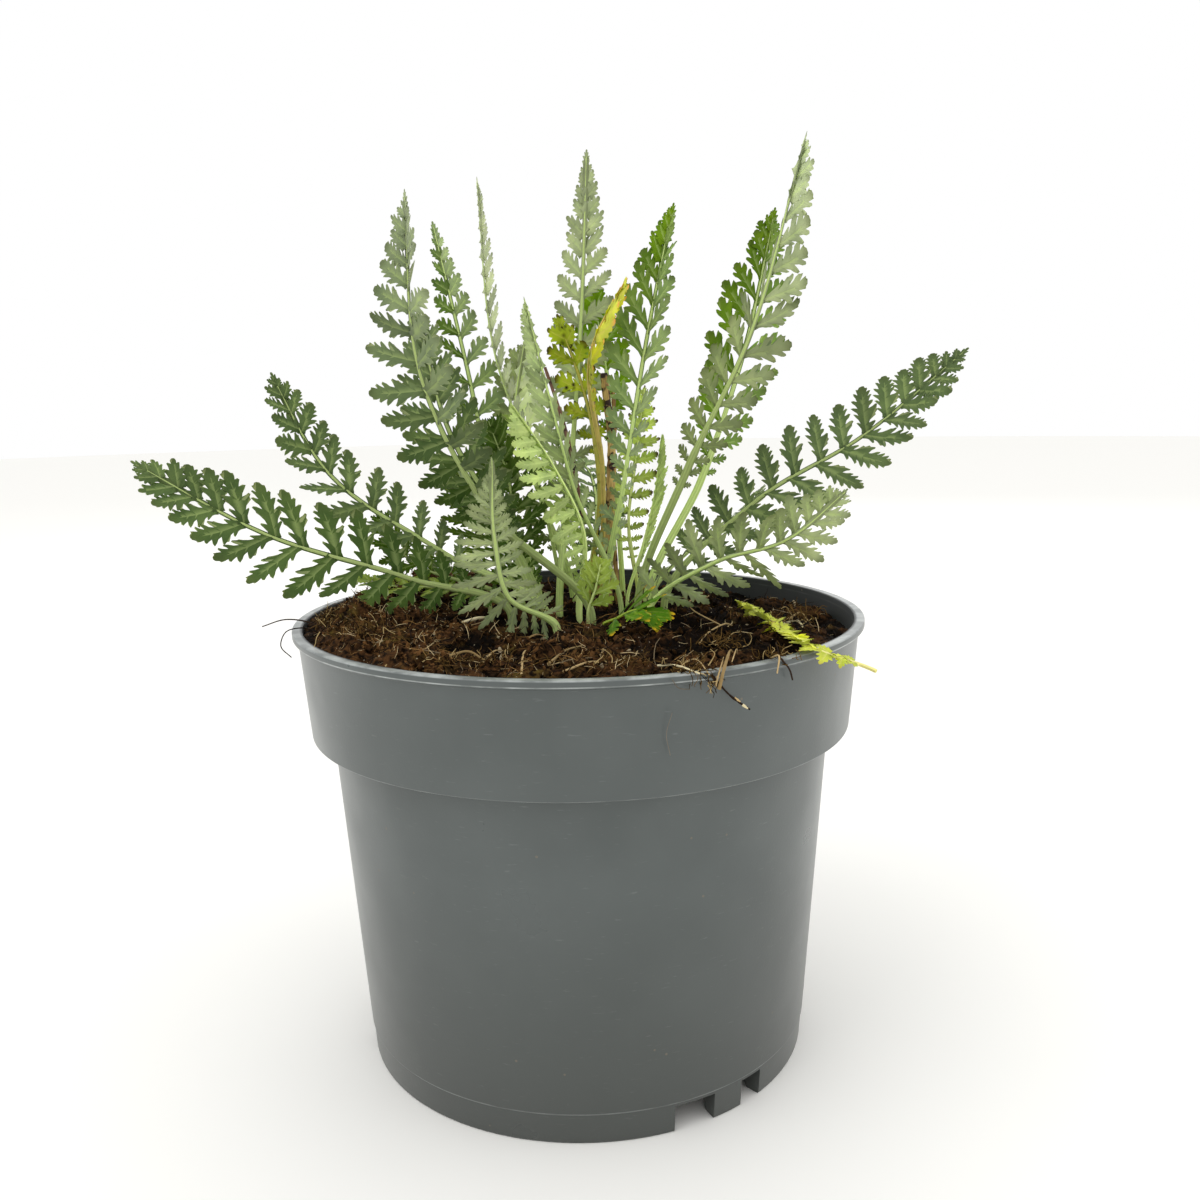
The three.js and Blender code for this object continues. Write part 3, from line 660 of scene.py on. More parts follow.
PEAT_CRUMB = LooseMatter("peat_crumb", "#060402", "#68492a", "#a5967a", 0.02)
COIR = LooseMatter("coir_fibre", "#2c1d0d", "#a07c4a", "#d8c294", 0.2, 2.0, 0.85)
DRY_MOSS = LooseMatter("dry_moss", "#1c1308", "#6c532c", "#b8a06e", 0.13, 2.0, 0.85)
DARK_ROOT = LooseMatter("dark_root", "#17110d", "#382a20", "#7f7058", 0.1, 1.43, 0.75)
STRAW = LooseMatter("dry_straw", "#86704a", "#c0a678", "#ddd0a8", 0.25, 2.0, 0.8)
GREY_HAIR = LooseMatter("grey_hair", "#4c4840", "#7d766a", "#8d8678", 0.1, 2.0, 0.8)


# Geometry Nodes trees


def strand_tree() -> GeometryNodeTree:
    """Tree that sweeps a round or flattened section along a guide's edges.

    Returns:
        The tree. It reads the guide's values upward and the one that Girth names, and leaves form and part.
    """
    sizes = {"Girth": "String", "Sides": "Int", "Flatness": "Float", "Part": "Float", "Material": "Material"}
    tree, given = new_tree("sweep_strand", sizes)
    add = partial(add_node, tree)
    rail = add("GeometryNodeMeshToCurve", {"Mesh": given["Geometry"]})
    upward = add(READ, ("upward",), **TRIPLE)
    rail = add("GeometryNodeSetCurveNormal", {"Curve": rail, "Normal": upward}, mode="FREE")
    factor = add("GeometryNodeSplineParameter", out="Factor")
    rail = add(KEEP, {"Geometry": rail, "Name": "along", "Value": factor})
    ring = add("GeometryNodeCurvePrimitiveCircle", {"Resolution": given["Sides"], "Radius": 1.0})
    spot = add("GeometryNodeInputPosition")
    ring = add(KEEP, {"Geometry": ring, "Name": "section", "Value": spot}, **TRIPLE)
    squeeze = add(UNITE, (given["Flatness"], 1.0, 1.0))
    ring = add("GeometryNodeTransform", {"Geometry": ring, "Scale": squeeze})
    girth = add(READ, (given["Girth"],), **NUMBER)
    sweep = {"Curve": rail, "Profile Curve": ring, "Scale": girth, "Fill Caps": True}
    tube = add("GeometryNodeCurveToMesh", sweep)
    along = add(READ, ("along",), **NUMBER)
    section = add(READ, ("section",), **TRIPLE)
    apart = add(SPLIT, (section,)).node.outputs
    form = add(UNITE, (along, apart[1], apart[0]))
    tube = add(KEEP, {"Geometry": tube, "Name": "form", "Value": form}, **TRIPLE)
    tube = add(KEEP, {"Geometry": tube, "Name": "part", "Value": given["Part"]})
    smooth = add("GeometryNodeSetShadeSmooth", {"Geometry": tube})
    end_tree(tree, smooth, given["Material"])
    return tree


def leaf_tree(strand: GeometryNodeTree) -> GeometryNodeTree:
    """Tree that grows a whole leaf: the stalk, the narrow wing along it and every leaflet on its seat.

    Args:
        strand: Tree that sweeps a section along edges.

    Returns:
        The tree. Seats carry out, ahead, upward, reach, breadth, bend, droop, twist, pick and tint.
    """
    floats = dict.fromkeys(("Thickness", "Keel", "Cup"), "Float")
    tree, given = new_tree("grow_leaf", {"Forms": "Collection", **floats, "Material": "Material"})
    add = partial(add_node, tree)
    is_seat = add(READ, ("is_seat",), **NUMBER)
    seated = add(MATH, (is_seat, 0.5), **ABOVE)
    both = {"Geometry": given["Geometry"], "Selection": seated}
    seats, midrib = add("GeometryNodeSeparateGeometry", both).node.outputs
    # The stalk is nearly round, and the wing a thin strip.
    rail = {"Geometry": midrib, "Material": given["Material"]}
    stalk, wing = (
        add("GeometryNodeGroup", {**rail, **sizes}, node_tree=strand)
        for sizes in (
            {"Girth": "girth", "Sides": 10, "Flatness": 0.85, "Part": 1.0},
            {"Girth": "wing", "Sides": 6, "Flatness": 0.16, "Part": 0.0},
        )
    )
    pick = add(READ, ("pick",), data_type="INT")
    shelf = {"Collection": given["Forms"], "Separate Children": True, "Reset Children": True}
    forms = add("GeometryNodeCollectionInfo", shelf)
    places = {"Points": seats, "Instance": forms, "Pick Instance": True, "Instance Index": pick}
    put = add("GeometryNodeInstanceOnPoints", places)
    loose = add("GeometryNodeRealizeInstances", {"Geometry": put})

    # A flat form is keeled and cupped, twisted about its own length, then bent forwards and down.
    names = ("reach", "breadth", "twist", "bend", "droop")
    reach, breadth, twist, bend, droop = (add(READ, (name,), **NUMBER) for name in names)
    flat = add(READ, ("form",), **TRIPLE)
    flat = add(SPLIT, (flat,)).node.outputs
    run = add(MATH, (flat[0], reach), **TIMES)
    spread = add(MATH, (flat[1], breadth), **TIMES)
    wide = add(MATH, (spread,), **SIZE)
    keel = add(MATH, (wide, given["Keel"]), **TIMES)
    cup = flat[1]
    for factor in (flat[1], reach, given["Cup"]):
        cup = add(MATH, (cup, factor), **TIMES)
    lift = add(MATH, (flat[2], given["Thickness"], keel), **TIMES_PLUS)
    lift = add(MATH, (lift, cup), **LESS)
    angle = add(MATH, (twist, flat[0]), **TIMES)
    turned = add(UNITE, (spread, lift))
    turned = add("ShaderNodeVectorRotate", {"Vector": turned, "Angle": angle}, rotation_type="Z_AXIS")
    beside, above, _ = add(SPLIT, (turned,)).node.outputs
    curve = add(MATH, (flat[0], run), **TIMES)
    beside = add(MATH, (curve, bend, beside), **TIMES_PLUS)
    sag = add(MATH, (curve, droop), **TIMES)
    above = add(MATH, (above, sag), **LESS)
    spot = add(READ, ("seat",), **TRIPLE)
    for name, amount in (("out", run), ("ahead", beside), ("upward", above)):
        way = add(READ, (name,), **TRIPLE)
        way = add(VECTORS, {0: way, "Scale": amount}, operation="SCALE")
        spot = add(VECTORS, (spot, way), operation="ADD")
    bent = add("GeometryNodeSetPosition", {"Geometry": loose, "Position": spot})
    whole = add("GeometryNodeJoinGeometry")
    for piece in (bent, wing, stalk):
        tree.links.new(piece, whole.node.inputs[0])
    end_tree(tree, whole, given["Material"])
    return tree


def litter_tree() -> GeometryNodeTree:
    """Tree that strews crumbs, clods or fibres over the upward faces of a surface.

    Returns:
        The tree. The surface's values litter and room thin and shrink the strewing from place to place.
    """
    floats = dict.fromkeys(("Density", "Smallest", "Largest", "Tilt", "Lift"), "Float")
    sizes = {"Forms": "Collection", **floats, "Seed": "Int", "Material": "Material"}
    tree, given = new_tree("strew_litter", sizes)
    add = partial(add_node, tree)
    normal = add("GeometryNodeInputNormal")
    up = add(SPLIT, (normal,), out=2)
    level = add(MATH, (up, 0.3), **ABOVE)
    litter, room, dry = (add(READ, (name,), **NUMBER) for name in ("litter", "room", "dry"))
    rate = add(MATH, (litter, given["Density"]), **TIMES)
    where = {"Mesh": given["Geometry"], "Selection": level, "Density": rate, "Seed": given["Seed"]}
    spots = add("GeometryNodeDistributePointsOnFaces", where).node.outputs
    shelf = {"Collection": given["Forms"], "Separate Children": True, "Reset Children": True}
    forms = add("GeometryNodeCollectionInfo", shelf)
    # Each bit leans by up to the tilt, and is turned any way about its upright.
    tilt = given["Tilt"]
    low = add(MATH, (tilt, -1.0), **TIMES)
    least = add(UNITE, (low, low, 0.0))
    most = add(UNITE, (tilt, tilt, tau))
    turn = add(RANDOM, {0: least, 1: most, "Seed": given["Seed"]}, **TRIPLE)
    turn = add("FunctionNodeEulerToRotation", (turn,))
    way = {0: spots["Rotation"], 1: turn}
    facing = add("FunctionNodeRotateRotation", way, rotation_space="LOCAL")
    limits = {2: given["Smallest"], 3: given["Largest"], "Seed": 7}
    size = add(RANDOM, limits, out=1, **NUMBER)
    size = add(MATH, (size, room), **TIMES)
    which = add(RANDOM, {4: 0, 5: 4, "Seed": 11}, out=2, data_type="INT")
    places = {"Points": spots["Points"], "Instance": forms, "Pick Instance": True, "Instance Index": which}
    put = add("GeometryNodeInstanceOnPoints", {**places, "Rotation": facing, "Scale": size})
    # Every bit draws its tint, and bits on wet peat and in pits of painted shade are darker.
    tint = add(RANDOM, {"Seed": 3}, **TRIPLE)
    shade = add(RANGE, (dry, 0.15, 0.75, 0.25, 1.0))
    shade = add(UNITE, (shade, 1.0, 1.0))
    tint = add(VECTORS, (tint, shade), **TIMES)
    put = add(KEEP, {"Geometry": put, "Name": "tint", "Value": tint}, domain="INSTANCE", **TRIPLE)
    lift = add(UNITE, (0.0, 0.0, given["Lift"]))
    moved = {"Instances": put, "Translation": lift, "Local Space": False}
    put = add("GeometryNodeTranslateInstances", moved)
    end_tree(tree, put, given["Material"])
    return tree


# Paths


def smooth_path(points: list[Vector], start: Vector, steps: int = 24) -> list[Vector]:
    """Runs a smooth curve through points, as the part's source does.

    Args:
        points: Points that it goes through.
        start: Direction in which it leaves the first.
        steps: Steps between two points.

    Returns:
        The points of the curve.
    """
    chords = [(b - a).length for a, b in zip(points, points[1:])]
    slopes = [start.copy()]
    for i in range(1, len(points)):
        before = (points[i] - points[i - 1]) / chords[i - 1]
        if i == len(points) - 1:
            slopes.append(before)
            break
        after = (points[i + 1] - points[i]) / chords[i]
        weight = chords[i] / (chords[i - 1] + chords[i])
        slopes.append(before * weight + after * (1 - weight))
    path = [points[0].copy()]
    for i, chord in enumerate(chords):
        for step in range(1, steps + 1):
            t = step / steps
            path.append(
                points[i] * ((1 + 2 * t) * (1 - t) ** 2)
                + slopes[i] * (chord * t * (1 - t) ** 2)
                + points[i + 1] * (t * t * (3 - 2 * t))
                + slopes[i + 1] * (chord * t * t * (t - 1))
            )
    return path


class Track:
    """A path with its length, read by distance from its start."""

    def __init__(self, path: list[Vector]) -> None:
        """Measures the path.

        Args:
            path: Its points.
        """
        self.path = path
        self.along = [0.0]
        for a, b in zip(path, path[1:]):
            self.along.append(self.along[-1] + (b - a).length)
        self.length = self.along[-1]

    def at(self, distance: float) -> tuple[Vector, Vector]:
        """Reads the track.

        Args:
            distance: How far along, in the path's own unit.

        Returns:
            The place there and the direction of the track.
        """
        i = 1
        while i < len(self.path) - 1 and self.along[i] < distance:
            i += 1
        tangent = (self.path[i] - self.path[i - 1]).normalized()
        return self.path[i - 1] + tangent * (distance - self.along[i - 1]), tangent


def direction(bearing: float, elevation: float) -> Vector:
    """Turns two angles into a direction.

    Args:
        bearing: Degrees from the front, 90 being right.
        elevation: Degrees above the level.

    Returns:
        The direction, one long.
    """
    flat = cos(radians(elevation))
    turn = radians(bearing)
    return Vector((sin(turn) * flat, -cos(turn) * flat, sin(radians(elevation))))


def smoothstep(value: float, low: float, high: float) -> float:
    """Rises smoothly from 0 at low to 1 at high."""
    t = min(1.0, max(0.0, (value - low) / (high - low)))
    return t * t * (3 - 2 * t)


def mix(a: float, b: float, share: float) -> float:
    """Goes from a to b."""
    return a + (b - a) * share


def soil_height(x: float, y: float) -> float:
    """Works out how high the soil lies, as the part's source has it.

    Args:
        x: Distance to the right of the axis, in mm.
        y: Distance behind the axis, in mm.

    Returns:
        The height of the plain bed there, in mm.
    """
    edge = smoothstep(hypot(x, y), 60, SOIL_EDGE)
    back_right = smoothstep(0.7 * x + 0.7 * y, 10, 60)
    left = smoothstep(-x + 0.25 * y, 15, 60)
    lumps = 0.9 * sin(0.21 * x + 1.1) * cos(0.19 * y) + 0.5 * sin(0.43 * y - 0.31 * x)
    return SOIL_LEVEL - 5 * back_right + 4.5 * left * (1 - edge) + lumps * (1 - 0.6 * edge)


# Leaflet outlines

Lobes = tuple[tuple[Pair, ...], ...]

# Each lobe runs from the cut below it round its teeth to the last point before the next cut: mm along the
# midvein and mm out from it. The first side looks towards the leaf's tip.
SAW_AHEAD: Lobes = (
    ((0, 1.6), (0.9, 1.3), (1.7, 1.6), (2.6, 2.3), (3.6, 2.9), (4.0, 2.6), (3.7, 1.9)),
    ((3.4, 1.1), (4.2, 1.5), (4.9, 2.3), (5.5, 3.2), (6.1, 3.0), (7.1, 3.8), (7.6, 3.5), (9.0, 3.8),
     (9.2, 3.3), (8.6, 2.5)),
    ((8.2, 1.4), (9.1, 1.7), (10.0, 2.6), (10.9, 2.9), (11.0, 2.3)),
    ((10.7, 1.6), (11.5, 2.0), (12.5, 2.6), (12.7, 2.0)),
    ((12.3, 1.4), (13.2, 1.8), (14.1, 2.2), (14.2, 1.6)),
    ((13.9, 1.1), (14.8, 1.4), (15.2, 1.3), (15.2, 0.8), (15.9, 0.5)),
)
SAW_BEHIND: Lobes = (
    ((0, 1.4), (0.8, 1.2), (1.6, 1.2), (2.7, 1.8), (3.6, 2.4), (3.8, 1.9)),
    ((3.4, 1.2), (4.6, 1.7), (5.6, 2.6), (6.5, 3.2), (6.6, 2.5)),
    ((6.2, 1.5), (7.2, 2.0), (8.1, 3.0), (9.0, 3.6), (9.1, 2.8)),
    ((8.6, 1.6), (9.7, 2.1), (10.5, 2.9), (11.4, 3.3), (11.4, 2.5)),
    ((10.9, 1.6), (12.0, 2.0), (12.8, 2.6), (13.5, 2.7), (13.4, 2.0)),
    ((13.0, 1.3), (14.1, 1.6), (14.9, 1.8), (14.9, 1.2), (15.7, 0.8)),
)
FINGER_AHEAD: Lobes = (
    ((0, 1.8), (1.3, 1.5), (2.3, 1.9), (3.3, 2.6), (4.1, 3.2), (4.6, 3.0), (4.3, 2.2)),
    ((4.0, 1.5), (5.2, 1.9), (6.4, 2.7), (7.2, 3.5), (8.0, 3.5), (8.8, 4.1), (9.2, 3.7), (8.9, 2.9),
     (8.5, 2.1)),
    ((8.3, 1.6), (9.6, 2.1), (10.5, 3.0), (11.6, 3.6), (11.8, 2.9), (11.4, 2.2)),
    ((11.2, 1.6), (12.3, 2.1), (13.2, 2.7), (13.6, 2.2)),
    ((13.2, 1.4), (14.3, 1.7), (15.0, 1.8), (15.1, 1.2), (15.8, 0.7)),
)
FINGER_BEHIND: Lobes = (
    ((0, 1.7), (1.3, 1.4), (2.3, 1.5), (3.2, 2.1), (4.0, 2.7), (4.4, 2.4), (4.2, 1.8)),
    ((4.0, 1.4), (5.1, 1.8), (5.9, 2.6), (6.7, 3.3), (7.4, 3.2), (8.2, 3.7), (8.6, 3.3), (8.2, 2.5)),
    ((7.8, 1.5), (9.0, 1.9), (9.9, 2.7), (11.0, 3.4), (11.2, 2.6)),
    ((10.8, 1.6), (11.9, 2.1), (12.8, 2.7), (13.2, 2.2)),
    ((12.9, 1.4), (14.0, 1.7), (14.8, 1.7), (15.0, 1.1), (15.8, 0.7)),
)
FAN_AHEAD: Lobes = (
    ((0, 1.3), (1.3, 1.0), (2.4, 1.4), (3.6, 2.4), (4.6, 2.9), (4.9, 2.5), (4.4, 1.9)),
    ((4.0, 1.2), (5.0, 1.9), (5.6, 3.1), (6.4, 4.1), (7.1, 4.0), (7.9, 4.5), (8.3, 4.0), (7.9, 3.0),
     (7.4, 2.2)),
    ((7.1, 1.5), (8.2, 2.2), (8.9, 3.3), (9.7, 3.8), (10.2, 3.5), (10.8, 3.4), (10.6, 2.7), (10.2, 2.0)),
    ((9.9, 1.3), (10.8, 1.7), (11.5, 1.9), (11.5, 1.3), (12.0, 0.7)),
)
FAN_BEHIND: Lobes = (
    ((0, 1.2), (1.4, 0.9), (2.6, 1.3), (3.8, 2.2), (4.7, 2.4), (4.6, 1.9)),
    ((4.2, 1.3), (5.3, 2.0), (6.1, 3.2), (6.9, 4.0), (7.5, 3.8), (7.5, 3.0), (7.2, 2.2)),
    ((6.9, 1.4), (8.0, 2.1), (8.8, 3.1), (9.6, 3.4), (10.0, 3.2), (10.1, 2.6), (9.8, 1.9)),
    ((9.5, 1.3), (10.6, 1.6), (11.3, 1.8), (11.4, 1.2), (11.9, 0.7)),
)
SLIM_SIDE: Lobes = (
    ((0, 0.8), (1.6, 0.7), (2.6, 1.3), (3.4, 1.6), (3.6, 1.2)),
    ((3.3, 0.8), (4.4, 1.2), (5.4, 1.8), (5.8, 1.4)),
    ((5.5, 0.8), (6.3, 1.1), (7.0, 1.4), (7.1, 1.0)),
    ((6.9, 0.6), (7.6, 0.7), (7.9, 0.3)),
)
LOBE_AHEAD: Lobes = (
    ((0, 2.7), (1.3, 2.5), (2.6, 2.8), (3.9, 3.4), (4.4, 3.1), (4.2, 2.5)),
    ((4.0, 1.9), (5.4, 2.3), (6.6, 3.0), (7.3, 2.8), (7.1, 2.1)),
    ((6.8, 1.5), (8.0, 1.7), (9.2, 2.1), (9.5, 1.6), (9.3, 1.1)),
    ((9.0, 0.8), (10.2, 0.9), (10.9, 0.5)),
)
LOBE_BEHIND: Lobes = (
    ((0, 2.2), (1.5, 2.0), (2.9, 2.2), (3.9, 2.6), (4.2, 2.1)),
    ((4.0, 1.7), (5.5, 2.0), (6.7, 2.5), (7.2, 2.2), (7.0, 1.6)),
    ((6.8, 1.3), (8.1, 1.5), (9.0, 1.6), (9.3, 1.1)),
    ((9.0, 0.7), (10.1, 0.7), (10.8, 0.4)),
)

# Length and half width of each outline, its two sides, and how many versions are drawn of it.
OUTLINES = (
    (16, 3.8, SAW_AHEAD, SAW_BEHIND, 3),
    (16, 4.0, FINGER_AHEAD, FINGER_BEHIND, 3),
    (12, 4.3, FAN_AHEAD, FAN_BEHIND, 2),
    (8, 1.8, SLIM_SIDE, SLIM_SIDE, 2),
    (11, 3.4, LOBE_AHEAD, LOBE_BEHIND, 2),
)


class Cut(Enum):
    """How the leaflets of a leaf are cut, with the numbers of the forms that it draws from."""

    DEEP = (0, 1, 2, 3, 4)
    FINGER = (3, 4, 5)
    FAN = (6, 7)
    SLIM = (8, 9)
    LOBE = (10, 11)


@dataclass(frozen=True)
class LeafletForm:
    """Flat leaflet with toothed lobes that point forwards on both sides of its midvein. Sizes in mm."""

    length: float
    half: float
    ahead: Lobes
    behind: Lobes
    seed: int
    # How much vein reaches the tooth that a side vein ends in, and the end of the midvein.
    tooth_vein: float = 0.72
    end_vein: float = 0.6

    def jittered(self, lobe: tuple[Pair, ...], draw: np.random.Generator) -> list[Pair]:
        """Varies a lobe a little, but leaves the cut below it.

        Args:
            lobe: Its outline.
            draw: Source of the differences.

        Returns:
            The varied outline.
        """
        grow, shift = draw.uniform(0.88, 1.1), draw.uniform(-0.15, 0.25)
        row = [lobe[0]]
        for x, y in lobe[1:]:
            share = min(1.0, max(0.0, (y - 1.2) / 1.5))
            row.append((x + (shift + draw.uniform(-0.1, 0.1)) * share, y * mix(1.0, grow, share)))
        return row

    def build(self, name: str, mirrored: bool) -> Object:
        """Makes the form as a closed thin mesh, one unit long and one unit wide to each side.

        Args:
            name: Name of the object.
            mirrored: Whether the side that looks towards the leaf's tip lies at -Y.

        Returns:
            The object, not linked to a scene, with the values form and vein at its corners.
        """
        draw = np.random.default_rng(self.seed)
        sides = [[self.jittered(lobe, draw) for lobe in side] for side in (self.ahead, self.behind)]
        # Each side vein leaves the midvein a little before its lobe.
        roots = [[round(max(0.0, row[0][0] - 0.9 * row[0][1]) * 2) / 2 for row in side] for side in sides]
        stops = sorted(set(roots[0]) | set(roots[1]))
        corners: list[tuple[float, float, float, float]] = []
        faces: list[list[int]] = []

        def spot(x: float, y: float, z: float, vein: float) -> int:
            """Adds a corner with its share of vein, and returns its number."""
            corners.append((x / self.length, y / self.half, z, vein))
            return len(corners) - 1

        tops = [spot(x, 0, 0.5, 1.0) for x in stops]
        bottoms = [spot(x, 0, -0.5, 1.0) for x in stops]
        end = spot(self.length, 0, 0.0, self.end_vein)
        seams = []
        for side, rows, starts in zip((-1, 1) if mirrored else (1, -1), sides, roots):
            tips = [max(range(1, len(row)), key=lambda i: row[i][1] + 0.3 * row[i][0]) for row in rows]
            margin = []
            for row, tip in zip(rows, tips):
                veins = {} if row is rows[-1] else {tip: self.tooth_vein}
                margin.append([spot(x, side * y, 0.0, veins.get(i, 0.0)) for i, (x, y) in enumerate(row)])
            seams.append(margin[0][0])
            for number, (row, tip) in enumerate(zip(margin, tips)):
                first = stops.index(starts[number])
                for axis, flip in ((tops, side > 0), (bottoms, side < 0)):
                    if number == len(margin) - 1:
                        loops = [[*row, end, *axis[: first - 1 if first else None : -1]]]
                    else:
                        between = axis[stops.index(starts[number + 1]) : first : -1]
                        loops = [
                            [axis[first], *row[: tip + 1]],
                            [axis[first], *row[tip:], margin[number + 1][0], *between],
                        ]
                    faces += [loop[::-1] if flip else loop for loop in loops]
        faces.append([tops[0], seams[0], bottoms[0], seams[1]])
        places = [corner[:3] for corner in corners]
        mesh = bpy.data.meshes.new(name)
        mesh.from_pydata(places, [], faces)
        face_out(mesh)
        keep_values(mesh, "form", np.ravel(places), "FLOAT_VECTOR")
        keep_values(mesh, "vein", [corner[3] for corner in corners])
        mesh.shade_smooth()
        # The margin lies midway between the two faces.
        for edge in mesh.edges:
            edge.use_edge_sharp = all(abs(mesh.vertices[v].co.z) < 0.1 for v in edge.vertices)
        return bpy.data.objects.new(name, mesh)


def leaflet_forms() -> Collection:
    """Makes every version of every outline with its mirror image, in the order that Cut counts them.

    Returns:
        The collection of the forms, not linked to a scene.
    """
    shelf = bpy.data.collections.new("leaflet_forms")
    for *outline, versions in OUTLINES:
        for seed in range(versions):
            for mirrored in (False, True):
                name = f"form_{len(shelf.objects):02d}"
                shelf.objects.link(LeafletForm(*outline, seed).build(name, mirrored))
    return shelf


# Leaves


class Tone(Enum):
    """Tissue of a leaf."""

    GREEN = LeafTissue("green_blade")
    YOUNG = LeafTissue(
        "young_blade", "#a3b866", "#b4c680", "#dcec9c", "#98a44e", backlit_glow_green="#9cb43c", tip_share=0.25, glow=0.2
    )
    YELLOW = LeafTissue(
        "yellow_blade", "#c8ca3a", "#cccf58", "#d6c878", "#efb870", tip_share=0.8, glow=0.35, spots=0.25
    )
    SPOTTED = LeafTissue(
        "spotted_blade", "#9aa82c", "#a6b23c", "#c4be60", "#4a2c14", tip_share=0.85, spots=1.6
    )
    RIPENING = LeafTissue(
        "ripening_blade", "#4f7d12", "#6a8f28", "#a8bc4c", "#dcb826", tip_share=1.0, glow=0.3
    )
    BROWNING = LeafTissue(
        "browning_blade", "#a4b45e", "#aebc70", "#d4de92", "#4a3018", tip_share=1.0, spots=0.5
    )
    WITHERED = LeafTissue(
        "withered_blade", "#c0c650", "#c4c866", "#dcd894", "#b8a060", tip_share=0.5, spots=0.35,
        spot_colour="#94764e",
    )


@dataclass(frozen=True)
class LeafPlan:
    """One leaf, in mm and degrees: where its stalk is rooted, how its midrib runs, which way its upper
    side looks and how its leaflets are cut. Pairs of values hold for the foot and the tip of its blade:
    felt_and_sheen_share is the share of pale hairy grey with painted sheen, backlit_glow_share the share
    of yellow-green painted for light shining through the blade, light the lightness painted for the light
    and shade that falls on it, and spread the angle between midrib and leaflets. Its first half lies to
    the left when its upper side is seen: lean is the length of that half's leaflets over the other's,
    and odd the extra paleness of that half, painted for how the light falls on it. Its leaflets stay
    small up to the share late of the blade, and are lobes without a neck above lobed."""

    name: str
    slot: str
    root: Pair
    path: tuple[Triple, ...]
    face: Pair
    half: float
    stalk: float
    pairs: int
    fold: float
    cut: Cut = Cut.DEEP
    turn: float = 0.0
    tone: Tone = Tone.GREEN
    felt_and_sheen_share: Pair = (0.0, 0.0)
    backlit_glow_share: Pair = (0.1, 0.1)
    light: Pair = (1.0, 1.0)
    spread: Pair = (76.0, 42.0)
    lean: float = 1.0
    odd: float = 0.0
    late: float = 0.0
    closing: float = 0.0
    lobed: float = 0.62
    width: float = 1.0
    twist: float = 14.0
    droop: float = 0.06
    bend: float = 0.12
    keel: float = 0.22
    taper: float = 0.0


